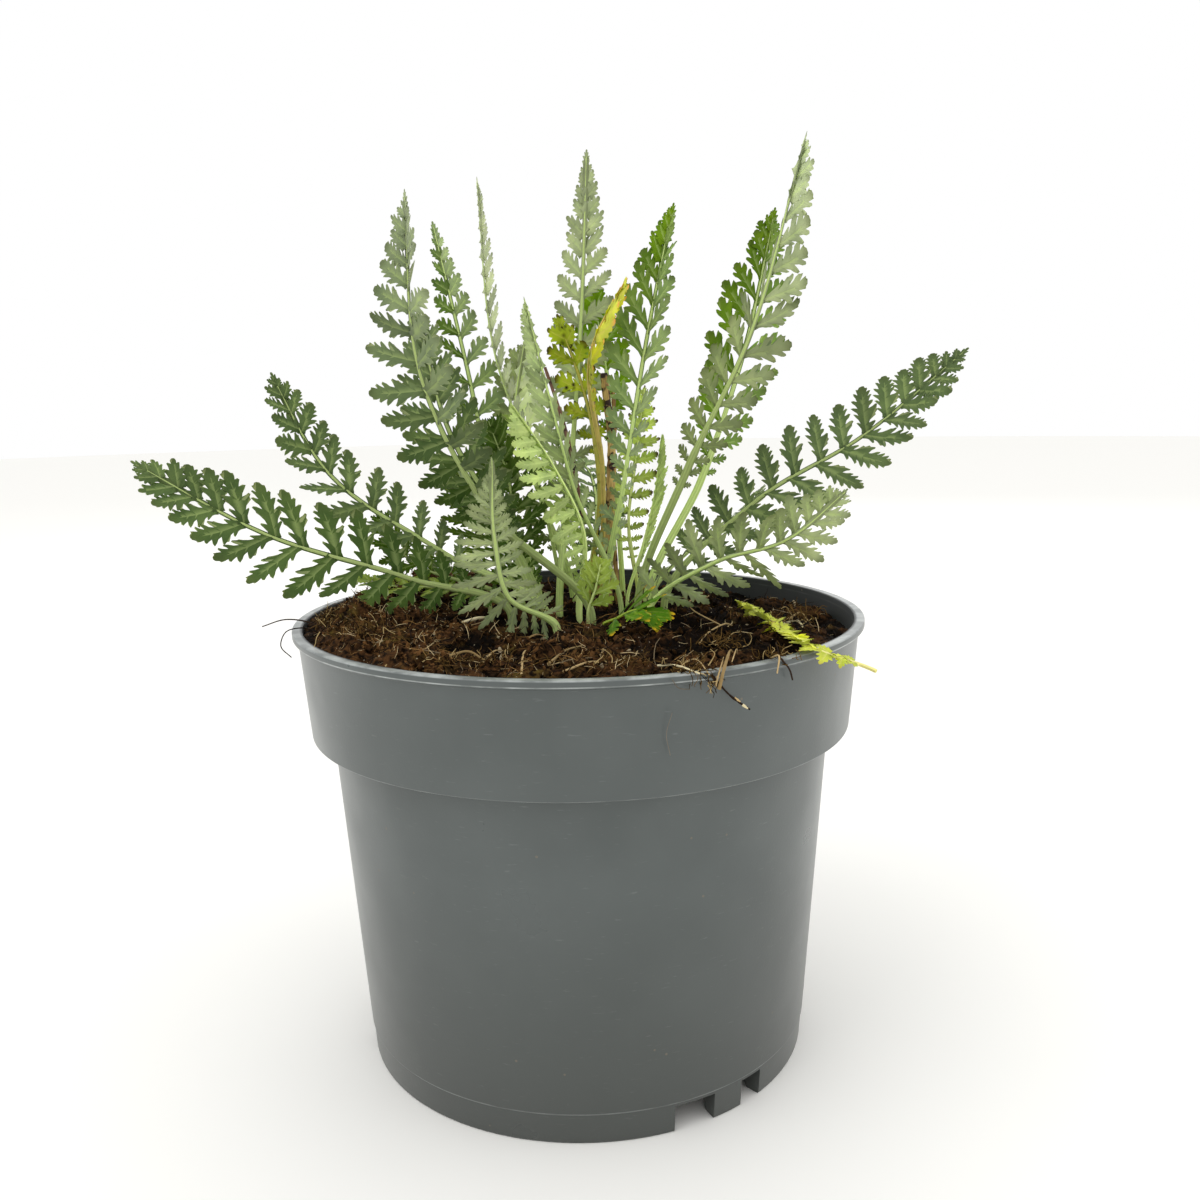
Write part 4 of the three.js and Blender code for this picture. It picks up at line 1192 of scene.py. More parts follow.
GREEN, OLIVE, GREY, YOUNG, YELLOW = "leaf_green", "leaf_olive", "leaf_grey", "leaf_young", "leaf_yellow"
FINGER, FAN, LOBE = Cut.FINGER, Cut.FAN, Cut.LOBE
LEAVES = [
    LeafPlan("leaf_left_low", GREEN, (-20, -8), ((-49, -14, 146), (-87, -20, 160), (-123, -24, 182)),
             (0, 35), 19, 0.24, 16, 12, FINGER, felt_and_sheen_share=(0.0, 0.12), light=(0.78, 0.93), lobed=0.85,
             taper=0.15),
    LeafPlan("leaf_left_mid", GREEN, (-9, -12), ((-40, 0, 151), (-76, 8, 176), (-93, 14, 206)), (5, 40), 14,
             0.33, 15, 18, FINGER, felt_and_sheen_share=(0.15, 0.1), light=(0.95, 0.9), twist=22, lobed=0.85),
    LeafPlan("leaf_left_inner", OLIVE, (-22, 7), ((-51, 14, 146), (-58, 15, 152), (-63, 17, 163)), (0, 30),
             9, 0.45, 11, 15, backlit_glow_share=(0.6, 0.4), light=(0.85, 0.9)),
    LeafPlan("leaf_left_olive", OLIVE, (-18, 11), ((-25, 16, 147), (-31, 18, 160), (-38, 20, 175)), (0, 15),
             14, 0.35, 12, 10, FINGER, felt_and_sheen_share=(0.15, 0.1), backlit_glow_share=(0.6, 0.5), odd=-0.45),
    LeafPlan("leaf_front_left_tall", GREEN, (4, -11), ((-24, -20, 165), (-41, -26, 203), (-43, -28, 252)),
             (-18, 15), 17.5, 0.38, 18, 14, FINGER, turn=-30, closing=12, felt_and_sheen_share=(0.0, 0.6),
             light=(0.76, 1.05), spread=(98, 44), twist=24, taper=0.45, odd=-0.08, lobed=0.8),
    LeafPlan("leaf_left_second", GREEN, (-13, -5), ((-23, -2, 161), (-37, 0, 187), (-46, 4, 223)),
             (-10, 20), 15, 0.36, 15, 12, FINGER, felt_and_sheen_share=(0.0, 0.25), light=(0.85, 1.02), twist=24,
             width=1.15, taper=0.2),
    LeafPlan("leaf_back_left_tall", GREEN, (-13, 20), ((-27, 30, 168), (-36, 40, 209), (-46, 48, 254)),
             (15, 25), 13, 0.34, 16, 12, FAN, felt_and_sheen_share=(0.0, 0.3), backlit_glow_share=(0.3, 0.4), light=(0.95, 1.22),
             twist=20, lean=0.85, width=1.15, odd=-0.15, lobed=0.7, spread=(78, 36), taper=0.35),
    LeafPlan("leaf_thin_grey", GREY, (-6, 15), ((-14, 22, 176), (-25, 29, 209), (-30, 38, 266)), (115, 15),
             9, 0.42, 22, 52, felt_and_sheen_share=(0.65, 0.95), backlit_glow_share=(0.0, 0.0), light=(0.98, 1.08), spread=(44, 20),
             lobed=0.0),
    LeafPlan("leaf_folded_grey", GREY, (13, 5), ((-1, 0, 171), (-7, -4, 196), (-14, 0, 226)), (170, 10), 10,
             0.3, 20, 40, turn=90, felt_and_sheen_share=(0.2, 0.25), backlit_glow_share=(0.3, 0.25), light=(1.0, 1.45), spread=(60, 28),
             width=1.2, lobed=0.3),
    LeafPlan("leaf_broad_grey", GREY, (-2, 22), ((-13, 30, 167), (-20, 38, 190), (-17, 46, 215)), (175, 20),
             14, 0.32, 13, 10, FAN, felt_and_sheen_share=(0.3, 0.25), light=(1.1, 1.15), width=1.1, odd=0.4),
    LeafPlan("leaf_centre_tall", GREY, (-6, 0), ((-2, 22, 174), (2, 34, 219), (5, 46, 275)), (165, 12), 14,
             0.38, 19, 14, felt_and_sheen_share=(0.2, 0.45), spread=(64, 36), twist=16, width=1.05, lobed=0.6, taper=0.3),
    LeafPlan("leaf_spotted", YELLOW, (3, 18), ((7, 19, 171), (4, 21, 193), (-5, 17, 222)), (-30, 30), 10,
             0.6, 7, 16, FAN, tone=Tone.SPOTTED, light=(1.1, 1.4), twist=25, width=1.3, spread=(66, 40)),
    LeafPlan("leaf_yellow_bent", YELLOW, (7, 16), ((8, 12, 175), (5, 9, 210), (16, 3, 231)), (80, 10), 11,
             0.66, 8, 20, LOBE, tone=Tone.YELLOW, twist=12, width=1.3, spread=(66, 36), light=(1.0, 1.35)),
    LeafPlan("leaf_olive_back", OLIVE, (14, 28), ((12, 34, 170), (9, 40, 213), (5, 46, 233)), (0, 15), 11,
             0.58, 9, 12, FAN, backlit_glow_share=(0.85, 1.0), light=(1.25, 1.4), width=1.3, spread=(64, 40)),
    LeafPlan("leaf_centre_right", GREEN, (8, 12), ((14.5, 3, 172), (22, 8, 214), (31, 18, 254)), (-32, 20),
             14, 0.3, 19, 22, FAN, felt_and_sheen_share=(0.45, 0.0), backlit_glow_share=(0.3, 1.0), light=(1.25, 1.0), spread=(66, 26),
             lean=1.25, odd=-0.1, late=0.5, twist=18, width=1.15, lobed=0.8, taper=0.12),
    LeafPlan("leaf_right_tall", GREEN, (18, 5), ((33, -2, 175), (50, -10, 212), (65, -16, 267)), (180, 5),
             15.3, 0.4, 17, 8, FAN, turn=-92, closing=28, felt_and_sheen_share=(0.0, 0.6), light=(0.78, 1.32),
             spread=(66, 42), twist=16, width=1.15, lobed=0.8, odd=0.08, taper=0.15),
    LeafPlan("leaf_right_second", GREEN, (21, 13), ((40, 28, 170), (56, 46, 211), (68, 60, 258)), (10, 15),
             17, 0.44, 14, 14, FAN, backlit_glow_share=(0.5, 1.0), light=(1.2, 0.86), spread=(66, 32), lean=1.15, twist=18,
             width=1.15, lobed=0.85, taper=0.42, odd=-0.12),
    LeafPlan("leaf_right_low", GREEN, (27, 19), ((56, 24, 162), (92, 32, 182), (128, 38, 210)), (-5, 40),
             17, 0.16, 17, 10, felt_and_sheen_share=(0.15, 0.15), light=(0.84, 0.84), lobed=0.88, spread=(80, 50)),
    LeafPlan("leaf_right_front", GREY, (21, -3), ((40, -14, 149), (59, -22, 156), (75, -30, 171)),
             (172, 30), 15.5, 0.12, 13, 8, FINGER, felt_and_sheen_share=(0.35, 0.3), light=(1.45, 1.2), spread=(86, 54),
             width=0.98, droop=0.16, lobed=0.9, odd=0.12),
    LeafPlan("leaf_rolled", YOUNG, (15, 12), ((20, 12, 150), (24, 16, 165), (27, 20, 185)), (90, 0), 7.5,
             0.42, 22, 56, LOBE, tone=Tone.YOUNG, spread=(36, 20), light=(1.2, 1.42), width=1.7),
    LeafPlan("leaf_front_young", YOUNG, (0, -1), ((2, -10, 158), (-6, -18, 178), (-17, -25, 196)), (-85, 5),
             15, 0.3, 20, 40, tone=Tone.YOUNG, light=(1.2, 1.25), spread=(86, 56), width=1.05, lobed=0.8),
    LeafPlan("leaf_front_grey", GREY, (-6, -24), ((-19, -31, 143), (-22, -33, 159), (-22, -34, 182)),
             (178, 8), 15, 0.2, 22, 12, FINGER, turn=40, felt_and_sheen_share=(0.25, 0.25), light=(1.2, 1.1),
             spread=(142, 24), width=1.1, twist=20, droop=0.2, lobed=0.9, taper=0.75, lean=0.7),
    LeafPlan("leaf_browning", OLIVE, (19, 20), ((16, 19, 157), (19, 23, 179), (22, 27, 200)), (10, 15), 8,
             0.38, 13, 12, tone=Tone.BROWNING, spread=(84, 60), light=(1.25, 1.4), width=1.1),
    LeafPlan("leaf_dark_inner", GREEN, (-11, 3), ((-19, 9, 153), (-21, 11, 172), (-27, 13, 191)), (0, 15),
             15, 0.34, 13, 12, FINGER, backlit_glow_share=(0.25, 0.25), light=(0.85, 0.85), width=1.1),
    LeafPlan("leaf_soil_left", YOUNG, (-27, -1), ((-42, 2, 140), (-57, 3, 141), (-72, 5, 144)), (0, 75), 8,
             0.34, 11, 8, tone=Tone.YOUNG, backlit_glow_share=(0.9, 0.8), light=(0.7, 0.85), width=1.1),
    LeafPlan("leaf_front_small", YOUNG, (3, -20), ((3, -22, 137), (5, -23, 143), (7, -24, 152)), (0, 15), 8,
             0.35, 5, 6, FAN, tone=Tone.YOUNG, backlit_glow_share=(0.6, 0.7), light=(0.95, 1.15), width=1.5,
             spread=(60, 35)),
    LeafPlan("leaf_front_yellowing", YELLOW, (7, -24), ((11, -29, 136), (17, -33, 139), (23, -36, 136)),
             (0, 60), 12.5, 0.2, 6, 4, FAN, tone=Tone.RIPENING, light=(1.1, 1.15), width=1.7,
             spread=(74, 34)),
    LeafPlan("leaf_back_left_low", GREEN, (-19, 16), ((-24, 44, 148), (-36, 72, 158), (-52, 98, 172)),
             (160, 50), 14, 0.2, 14, 12, FINGER, felt_and_sheen_share=(0.1, 0.15), lobed=0.85),
    LeafPlan("leaf_back_low", GREEN, (3, 30), ((6, 54, 156), (4, 80, 168), (-4, 106, 176)), (180, 50), 14,
             0.22, 14, 12, felt_and_sheen_share=(0.05, 0.15), lobed=0.85),
    LeafPlan("leaf_back_right_low", GREEN, (23, 29), ((38, 48, 144), (56, 70, 150), (70, 94, 162)),
             (-170, 55), 13, 0.2, 14, 12, FINGER, felt_and_sheen_share=(0.1, 0.15), lobed=0.85),
]
WITHERED = LeafPlan("leaf_withered", "withered_leaf", (78, -54),
                    ((78, -54, 125.6), (62, -62, 133.1), (56, -28, 133.1), (49, 12, 133)), (40, 70), 5.4,
                    0.06, 32, 8, LOBE, tone=Tone.WITHERED, twist=24, droop=0.3, spread=(58, 44), width=2.3,
                    light=(1.42, 1.28), lobed=0.0, taper=0.1)


@dataclass
class Leaf:
    """A whole leaf grown on its plan. Sizes in mm."""

    plan: LeafPlan
    number: int
    track: Track
    # Length of the straight foot of the stalk, and how far it comes out of the soil.
    foot: float
    clearance: float = 1.2
    thickness: float = 0.32
    cup: float = 0.05
    # The midrib takes this share of the path in so many steps; the end leaflet goes on from there.
    midrib: float = 0.985
    steps: int = 64
    # Radius of the midrib at its tip, and of the stalk of a narrow and of a broad leaf.
    fine: float = 0.2
    slender: float = 0.62
    stout: float = 1.2
    # The end leaflet is this many gaps between leaflets long and wide.
    end_length: float = 1.9
    end_half: float = 0.46

    @classmethod
    def rooted(cls, plan: LeafPlan, number: int) -> "Leaf":
        """Sets a leaf on its straight foot in the soil.

        Args:
            plan: Plan of the leaf.
            number: Its number, which seeds its draws.

        Returns:
            The leaf.
        """
        x, y = plan.root
        top = soil_height(x, y) + cls.clearance
        bend = smooth_path([Vector((x, y, top)), *map(Vector, plan.path)], Vector((0, 0, 0.8)))
        return cls(plan, number, Track([Vector((x, y, STALK_FOOT)), *bend]), top - STALK_FOOT)

    @classmethod
    def lying(cls, plan: LeafPlan, number: int) -> "Leaf":
        """Lays a fallen leaf along its path, and returns it."""
        path = smooth_path([Vector(p) for p in plan.path], Vector((-0.6, 0.7, 0.2)))
        return cls(plan, number, Track(path), 1.0)

    def axes(self, u: float) -> tuple[Vector, Vector, Vector, Vector]:
        """Finds how the midrib and the blade lie.

        Args:
            u: Distance along the midrib.

        Returns:
            The place, and the directions forward, across the blade and out of its upper side.
        """
        place, forward = self.track.at(u)
        face = direction(*self.plan.face)
        normal = (face - forward * face.dot(forward)).normalized()
        turn = radians(self.plan.turn) * min(1.0, u / self.track.length) ** 1.5
        normal.rotate(Matrix.Rotation(turn, 3, forward))
        return place, forward, normal.cross(forward), normal

    def guide(self) -> Guide:
        """Lays out the midrib and the seats of the leaflets.

        Returns:
            The guide that the leaf grows on.
        """
        plan, length = self.plan, self.track.length
        start = length * plan.stalk
        draw = np.random.default_rng(1000 + self.number)
        guide = Guide()
        thick = mix(self.slender, self.stout, smoothstep(plan.half, 6, 16))
        size = min(1.0, plan.half / 14)
        for i in range(self.steps + 1):
            u = length * self.midrib * i / self.steps
            q = (u - start) / (length - start)
            place, _, _, normal = self.axes(u)
            girth = mix(thick, self.fine, max(0.0, q) ** 0.45)
            # The blade runs down the midrib as a wing, broadest just under the end leaflet.
            wing = girth + 0.4 * smoothstep(q, 0.0, 0.4) * size
            wing += 0.5 * smoothstep(q, 0.7, 0.9) * (1 - smoothstep(q, 0.93, 1.0)) * size
            wing = wing * MM if q > -0.1 else girth * 0.6 * MM
            tint = self.tint(q, 1.0, 0.0)
            guide.point(place * MM, join=i > 0, upward=normal, girth=girth * MM, wing=wing, tint=tint)
        # The leaflets stand closer where they are shorter.
        first = max(-0.13, (self.foot + 6 - start) / (length - start))
        parts = np.linspace(first, 0.965, 400)
        room = np.cumsum([1 / (0.22 + 0.78 * self.share(q)) for q in parts])
        rows = np.interp((np.arange(plan.pairs) + 0.5) / plan.pairs, (room - room[0]) / np.ptp(room), parts)
        gaps = np.gradient(rows) * (length - start)
        for q, gap in zip(rows, gaps):
            for side in (1, -1):
                stagger = 0.12 * side * gap / length * draw.uniform(0.2, 1.6)
                u = start + (length - start) * min(0.99, q + stagger)
                self.seat(guide, u, float(q), float(gap), side, draw)
        self.end_seat(guide, float(gaps[-1]))
        return guide

    def tint(self, q: float, own: float, odd: float) -> Triple:
        """Works out the colouring at a part of the blade, with its painted light, shade and sheen.

        Args:
            q: Part of the blade, from 0 to 1.
            own: Lightness of the leaflet.
            odd: Extra paleness of its half, painted for how the light falls on it.

        Returns:
            Share of pale grey with painted sheen, painted lightness, and share of the painted yellow-green
            glow.
        """
        share = min(1.0, max(0.0, q))
        # Pale grey with painted sheen, painted lightness and the painted yellow-green glow, from foot to tip.
        felt_and_sheen_share, light, backlit_glow_share = (mix(*pair, share) for pair in (self.plan.felt_and_sheen_share, self.plan.light, self.plan.backlit_glow_share))
        return (min(0.95, max(0.0, felt_and_sheen_share + odd)), light * own * (1 + 0.5 * odd), backlit_glow_share)

    def share(self, q: float) -> float:
        """Works out how long the leaflets are at a part of the blade.

        Args:
            q: Part of the blade, from 0 to 1, or below 0 on the stalk.

        Returns:
            Their length as a share of the longest.
        """
        if q < 0:
            return 0.5 * exp(7 * q)
        whole = 0.13 + 0.87 * sin(pi * (0.15 + 0.81 * q))
        young = mix(0.4, 1.0, smoothstep(q, 0.0, self.plan.late)) if self.plan.late else 1.0
        return whole * young * min(1.0, 0.3 + 6 * (1 - q)) * (1 - self.plan.taper * q**2)

    def seat(
        self, guide: Guide, u: float, q: float, gap: float, side: int, draw: np.random.Generator
    ) -> None:
        """Adds the seat of one leaflet.

        Args:
            guide: Guide that gets it.
            u: Distance along the midrib.
            q: Part of the blade.
            gap: Distance to the next leaflet.
            side: 1 for one side and -1 for the other.
            draw: Source of its small differences.
        """
        plan = self.plan
        place, forward, across, normal = self.axes(u)
        late = max(0.0, q)
        fold = radians(plan.fold + plan.closing * late + draw.uniform(-8, 8))
        outward = across * (side * cos(fold)) + normal * sin(fold)
        angle = radians(mix(*plan.spread, late**1.2) + draw.uniform(-5, 5))
        out = forward * cos(angle) + outward * sin(angle)
        ahead = forward * sin(angle) - outward * cos(angle)
        blade_normal = normal * cos(fold) - across * (side * sin(fold))
        roll = Matrix.Rotation(radians(draw.uniform(-plan.twist, plan.twist)), 3, out)
        ahead.rotate(roll)
        blade_normal.rotate(roll)
        share = self.share(q)
        reach = plan.half * share * draw.uniform(0.93, 1.06) * (plan.lean if side > 0 else 1.0)
        if share < 0.3 and q < 0.5:
            kinds = Cut.SLIM.value
        else:
            kinds = Cut.LOBE.value if q > plan.lobed else plan.cut.value
        # A leaflet is as wide as its neighbours leave it room, and no wider than its length allows.
        room = mix(0.5, 0.86, smoothstep(q, 0.45, 0.95)) * gap * sin(angle)
        limit = mix(0.28, 0.46, smoothstep(q, 0.4, 1.0)) * reach
        guide.point(
            place * MM,
            is_seat=1.0,
            seat=place * MM,
            out=out,
            ahead=ahead * -side,
            upward=blade_normal,
            reach=reach * MM,
            breadth=min(room, limit) * plan.width * MM,
            bend=-side * plan.bend * draw.uniform(0.4, 1.5),
            droop=plan.droop * draw.uniform(-0.8, 2.4),
            twist=radians(plan.twist) * draw.uniform(-1.2, 1.2),
            pick=2 * kinds[draw.integers(len(kinds))] + (side > 0),
            tint=self.tint(q, draw.uniform(0.86, 1.14), plan.odd * side),
        )

    def end_seat(self, guide: Guide, gap: float) -> None:
        """Adds the seat of the leaflet at the very tip.

        Args:
            guide: Guide that gets it.
            gap: Distance between the last leaflets.
        """
        place, forward, across, normal = self.axes(self.track.length - self.end_length * gap)
        still = {"bend": 0.0, "droop": 0.0, "twist": 0.0}
        sizes = {"reach": self.end_length * gap * MM, "breadth": self.end_half * gap * MM, **still}
        ways = {"out": forward, "ahead": -across, "upward": normal}
        look = {"pick": 2 * Cut.LOBE.value[0], "tint": self.tint(1.0, 1.0, 0.0)}
        guide.point(place * MM, is_seat=1.0, seat=place * MM, **ways, **sizes, **look)

    def build(self, tree: GeometryNodeTree, forms: Collection) -> None:
        """Grows the leaf and puts it in the place of its node.

        Args:
            tree: Tree that grows a leaf.
            forms: Leaflets to pick from.
        """
        guide = self.guide().build(self.plan.name + "_guide")
        sizes = {"Forms": forms, "Thickness": self.thickness * MM, "Keel": self.plan.keel, "Cup": self.cup}
        modify(guide, tree, {**sizes, "Material": self.plan.tone.value.material()})
        piece = settle(guide, self.plan.name + "_cut")
        hand_over(piece, (self.plan.name,))


# Pot


@dataclass
class NurseryPot:
    """Round pot with a lip, a collar and a notched foot. Sizes in mm."""

    height: float = 132.5
    wall: float = 1.5
    rim_radius: float = 85.0
    lip_height: float = 1.9
    collar_bottom: float = 101.0
    collar_radius: float = 81.0
    collar_top_radius: float = 83.5
    body_top_radius: float = 75.2
    foot_radius: float = 67.6
    foot_height: float = 9.0
    floor: float = 1.8
    floor_radius: float = 65.5
    floor_disc: float = 44.0
    drain_rise: float = 4.5
    drain_outer: float = 61.5
    notch_height: float = 8.0
    notch_depth: float = 14.0
    # Bearing of each notch of a group, in degrees, and its width.
    notches: tuple[Pair, ...] = ((26, 12.5), (43, 8))
    groups: int = 3
    segments: int = 192
    # Edges that turn by more than this, in degrees, stay sharp.
    sharp_from: float = 38.0

    def profile(self) -> list[Pair]:
        """Walks round the section from the middle of the underside, with every corner eased.

        Returns:
            Radius and height of each point.
        """
        lip_bottom = self.height - self.lip_height
        inner_floor = self.drain_rise + self.floor
        # Radius, height, and how far from the corner its easing starts.
        corners = [
            (0, 0, 0),
            (self.floor_disc, 0, 0.5),
            (self.floor_disc + 2, self.drain_rise, 0.5),
            (self.drain_outer, self.drain_rise, 0.5),
            (self.drain_outer + 1.5, 0, 0.4),
            (self.foot_radius, 0, 0.6),
            (self.foot_radius + 0.65, self.foot_height - 0.2, 0.1),
            (self.foot_radius + 0.95, self.foot_height + 0.2, 0.1),
            (self.body_top_radius - 0.3, self.collar_bottom - 1.2, 0.6),
            (self.body_top_radius + 0.9, self.collar_bottom + 0.5, 0.5),
            (self.collar_radius, self.collar_bottom, 0.45),
            (self.collar_top_radius - 0.1, lip_bottom - 0.7, 0.4),
            (self.rim_radius, lip_bottom, 0.35),
            (self.rim_radius, self.height, 0.4),
            (self.collar_top_radius - self.wall, self.height, 0.35),
            (self.collar_radius - self.wall, LEDGE + 0.8, 0.5),
            (self.body_top_radius - self.wall, LEDGE, 0.5),
            (self.floor_radius, inner_floor, 0.8),
            (self.floor_disc - 0.5, inner_floor, 0.4),
            (self.floor_disc - 2.5, self.floor, 0.4),
            (0, self.floor, 0),
        ]
        points: list[Pair] = []
        for i, (r, z, ease) in enumerate(corners):
            here = Vector((r, z))
            if ease == 0:
                points.append((r, z))
                continue
            before = (Vector(corners[i - 1][:2]) - here).normalized() * ease
            after = (Vector(corners[i + 1][:2]) - here).normalized() * ease
            for t in (0.0, 0.33, 0.67, 1.0):
                points.append(tuple(here + before * (1 - t) ** 2 + after * t**2))
        return points

    def shell(self) -> Object:
        """Turns the section round the axis.

        Returns:
            The closed pot without its notches.
        """
        profile = self.profile()
        inner = profile[1:-1]
        rows = len(inner)
        places = [(0.0, 0.0, profile[0][1] * MM), (0.0, 0.0, profile[-1][1] * MM)]
        faces: list[tuple[int, ...]] = []
        for k in range(self.segments):
            turn = tau * k / self.segments
            places += [(r * cos(turn) * MM, r * sin(turn) * MM, z * MM) for r, z in inner]
            a, b = 2 + k * rows, 2 + ((k + 1) % self.segments) * rows
            faces.append((0, b, a))
            faces.append((1, a + rows - 1, b + rows - 1))
            faces += [(a + i, b + i, b + i + 1, a + i + 1) for i in range(rows - 1)]
        mesh = bpy.data.meshes.new("pot_shell")
        mesh.from_pydata(places, [], faces)
        face_out(mesh, WELD)
        return set_down("pot_shell", mesh)

    def cutters(self) -> Object:
        """Makes the blocks that cut the drain notches.

        Returns:
            The blocks, as one object.
        """
        sides = ((0, 3, 2, 1), (4, 5, 6, 7), (0, 1, 5, 4), (1, 2, 6, 5), (2, 3, 7, 6), (3, 0, 4, 7))
        places: list[Vector] = []
        faces: list[tuple[int, ...]] = []
        for group in range(self.groups):
            for angle, width in self.notches:
                turn = Matrix.Rotation(radians(angle + 360 / self.groups * group), 4, "Z")
                faces += [tuple(len(places) + i for i in face) for face in sides]
                # Each block starts 2 mm below the foot, so that it cuts clean through.
                for z in (-2, self.notch_height):
                    for sx, sy in ((-1, -1), (1, -1), (1, 1), (-1, 1)):
                        corner = Vector((sx * width / 2, -self.foot_radius + sy * self.notch_depth / 2, z))
                        places.append((turn @ corner) * MM)
        mesh = bpy.data.meshes.new("notch_cutters")
        mesh.from_pydata(places, [], faces)
        return set_down("notch_cutters", mesh)

    def build(self) -> None:
        """Makes the pot, cuts its notches and puts it in the place of its node."""
        shell, cutters = self.shell(), self.cutters()
        cut = shell.modifiers.new("notches", "BOOLEAN")
        cut.operation = "DIFFERENCE"
        cut.solver = "EXACT"
        cut.object = cutters
        piece = settle(shell, "pot_moulding")
        bpy.data.objects.remove(cutters)
        piece.data.shade_smooth()
        piece.data.set_sharp_from_angle(angle=radians(self.sharp_from))
        piece.data.materials.clear()
        piece.data.materials.append(MouldedPolypropylene().material())
        hand_over(piece, ("pot",))


# Soil


@dataclass(frozen=True)
class Litter:
    """One kind of loose bit: its finish, how many lie on a square metre, the least and greatest length and
    the lift off the ground in mm, and the greatest tilt in radians."""

    name: str
    finish: Finish
    density: float
    smallest: float
    largest: float
    tilt: float
    lift: float
    seed: int

    def strew(self, base: Object, prefix: str, forms: Collection, tree: GeometryNodeTree) -> Object:
        """Strews the bits over a surface.

        Args:
            base: Surface that carries them.
            prefix: Start of the name of the new piece.
            forms: Shapes to pick from.
            tree: Tree that strews.

        Returns:
            The litter, as a piece of its own.
        """
        name = prefix + self.name
        guide = set_down(name + "_guide", base.data.copy())
        sizes = {"Smallest": self.smallest * MM, "Largest": self.largest * MM, "Lift": self.lift * MM}
        ways = {"Density": self.density, "Tilt": self.tilt, "Seed": self.seed}
        modify(guide, tree, {"Forms": forms, **sizes, **ways, "Material": self.finish.material()})
        return settle(guide, name)


@dataclass(frozen=True)
class LumpForms:
    """Angular lumps, about one unit long: how finely each is cut, how far its corners are pulled in or out,
    and its least width and height."""

    name: str
    detail: int
    rough: float
    slim: float
    count: int = 5

    def build(self) -> Collection:
        """Makes the lumps.

        Returns:
            The collection, not linked to a scene.
        """
        shelf = bpy.data.collections.new(self.name)
        for number in range(self.count):
            draw = np.random.default_rng(40 + number)
            slim = self.slim
            stretch = Vector((1.0, draw.uniform(slim, slim + 0.4), draw.uniform(slim, slim + 0.3)))
            form = bmesh.new()
            bmesh.ops.create_icosphere(form, subdivisions=self.detail, radius=0.5)
            for corner in form.verts:
                corner.co = corner.co * stretch * (1 + self.rough * draw.uniform(-1, 1))
            mesh = bpy.data.meshes.new(f"{self.name}_{number}")
            form.to_mesh(mesh)
            form.free()
            shelf.objects.link(bpy.data.objects.new(mesh.name, mesh))
        return shelf


@dataclass(frozen=True)
class FibreForms:
    """Bent three-sided fibres, one unit long: their radius in the middle and how many steps each takes."""

    radius: float = 0.017
    steps: int = 5
    count: int = 5

    def build(self) -> Collection:
        """Makes the fibres.

        Returns:
            The collection, not linked to a scene.
        """
        shelf = bpy.data.collections.new("fibre_forms")
        last = 3 * self.steps
        for number in range(self.count):
            draw = np.random.default_rng(70 + number)
            places: list[Vector] = []
            heading, lift, spot = 0.0, draw.uniform(-0.2, 0.4), Vector((-0.5, 0, 0))
            for i in range(self.steps + 1):
                thick = self.radius * (1 - 0.6 * abs(2 * i / self.steps - 1) ** 2)
                across = Vector((-sin(heading), cos(heading), 0))
                for turn in (0.0, tau / 3, 2 * tau / 3):
                    lifted = Vector((0, 0, thick * sin(turn)))
                    places.append(spot + across * thick * cos(turn) + lifted)
                spot = spot + Vector((cos(heading), sin(heading), lift)) / self.steps
                heading += draw.uniform(-0.4, 0.4)
                lift += draw.uniform(-0.3, 0.22)
            starts = [(3 * i + k, 3 * i + (k + 1) % 3) for i in range(self.steps) for k in range(3)]
            faces = [(a, b, b + 3, a + 3) for a, b in starts] + [(2, 1, 0), (last, last + 1, last + 2)]
            mesh = bpy.data.meshes.new(f"fibre_{number}")
            mesh.from_pydata(places, [], faces)
            face_out(mesh, WELD)
            shelf.objects.link(bpy.data.objects.new(mesh.name, mesh))
        return shelf


CLODS = Litter("clods", Peat(), 14000.0, 3.0, 7.0, 3.0, -0.3, 2)
CRUMBS = Litter("crumbs", PEAT_CRUMB, 330000.0, 0.8, 3.2, 3.0, -0.05, 5)
FIBRES = Litter("fibres", COIR, 230000.0, 2.0, 6.5, 0.9, 0.3, 8)
ROOTLETS = Litter("rootlets", DARK_ROOT, 60000.0, 3.0, 12.0, 0.5, 0.3, 21)


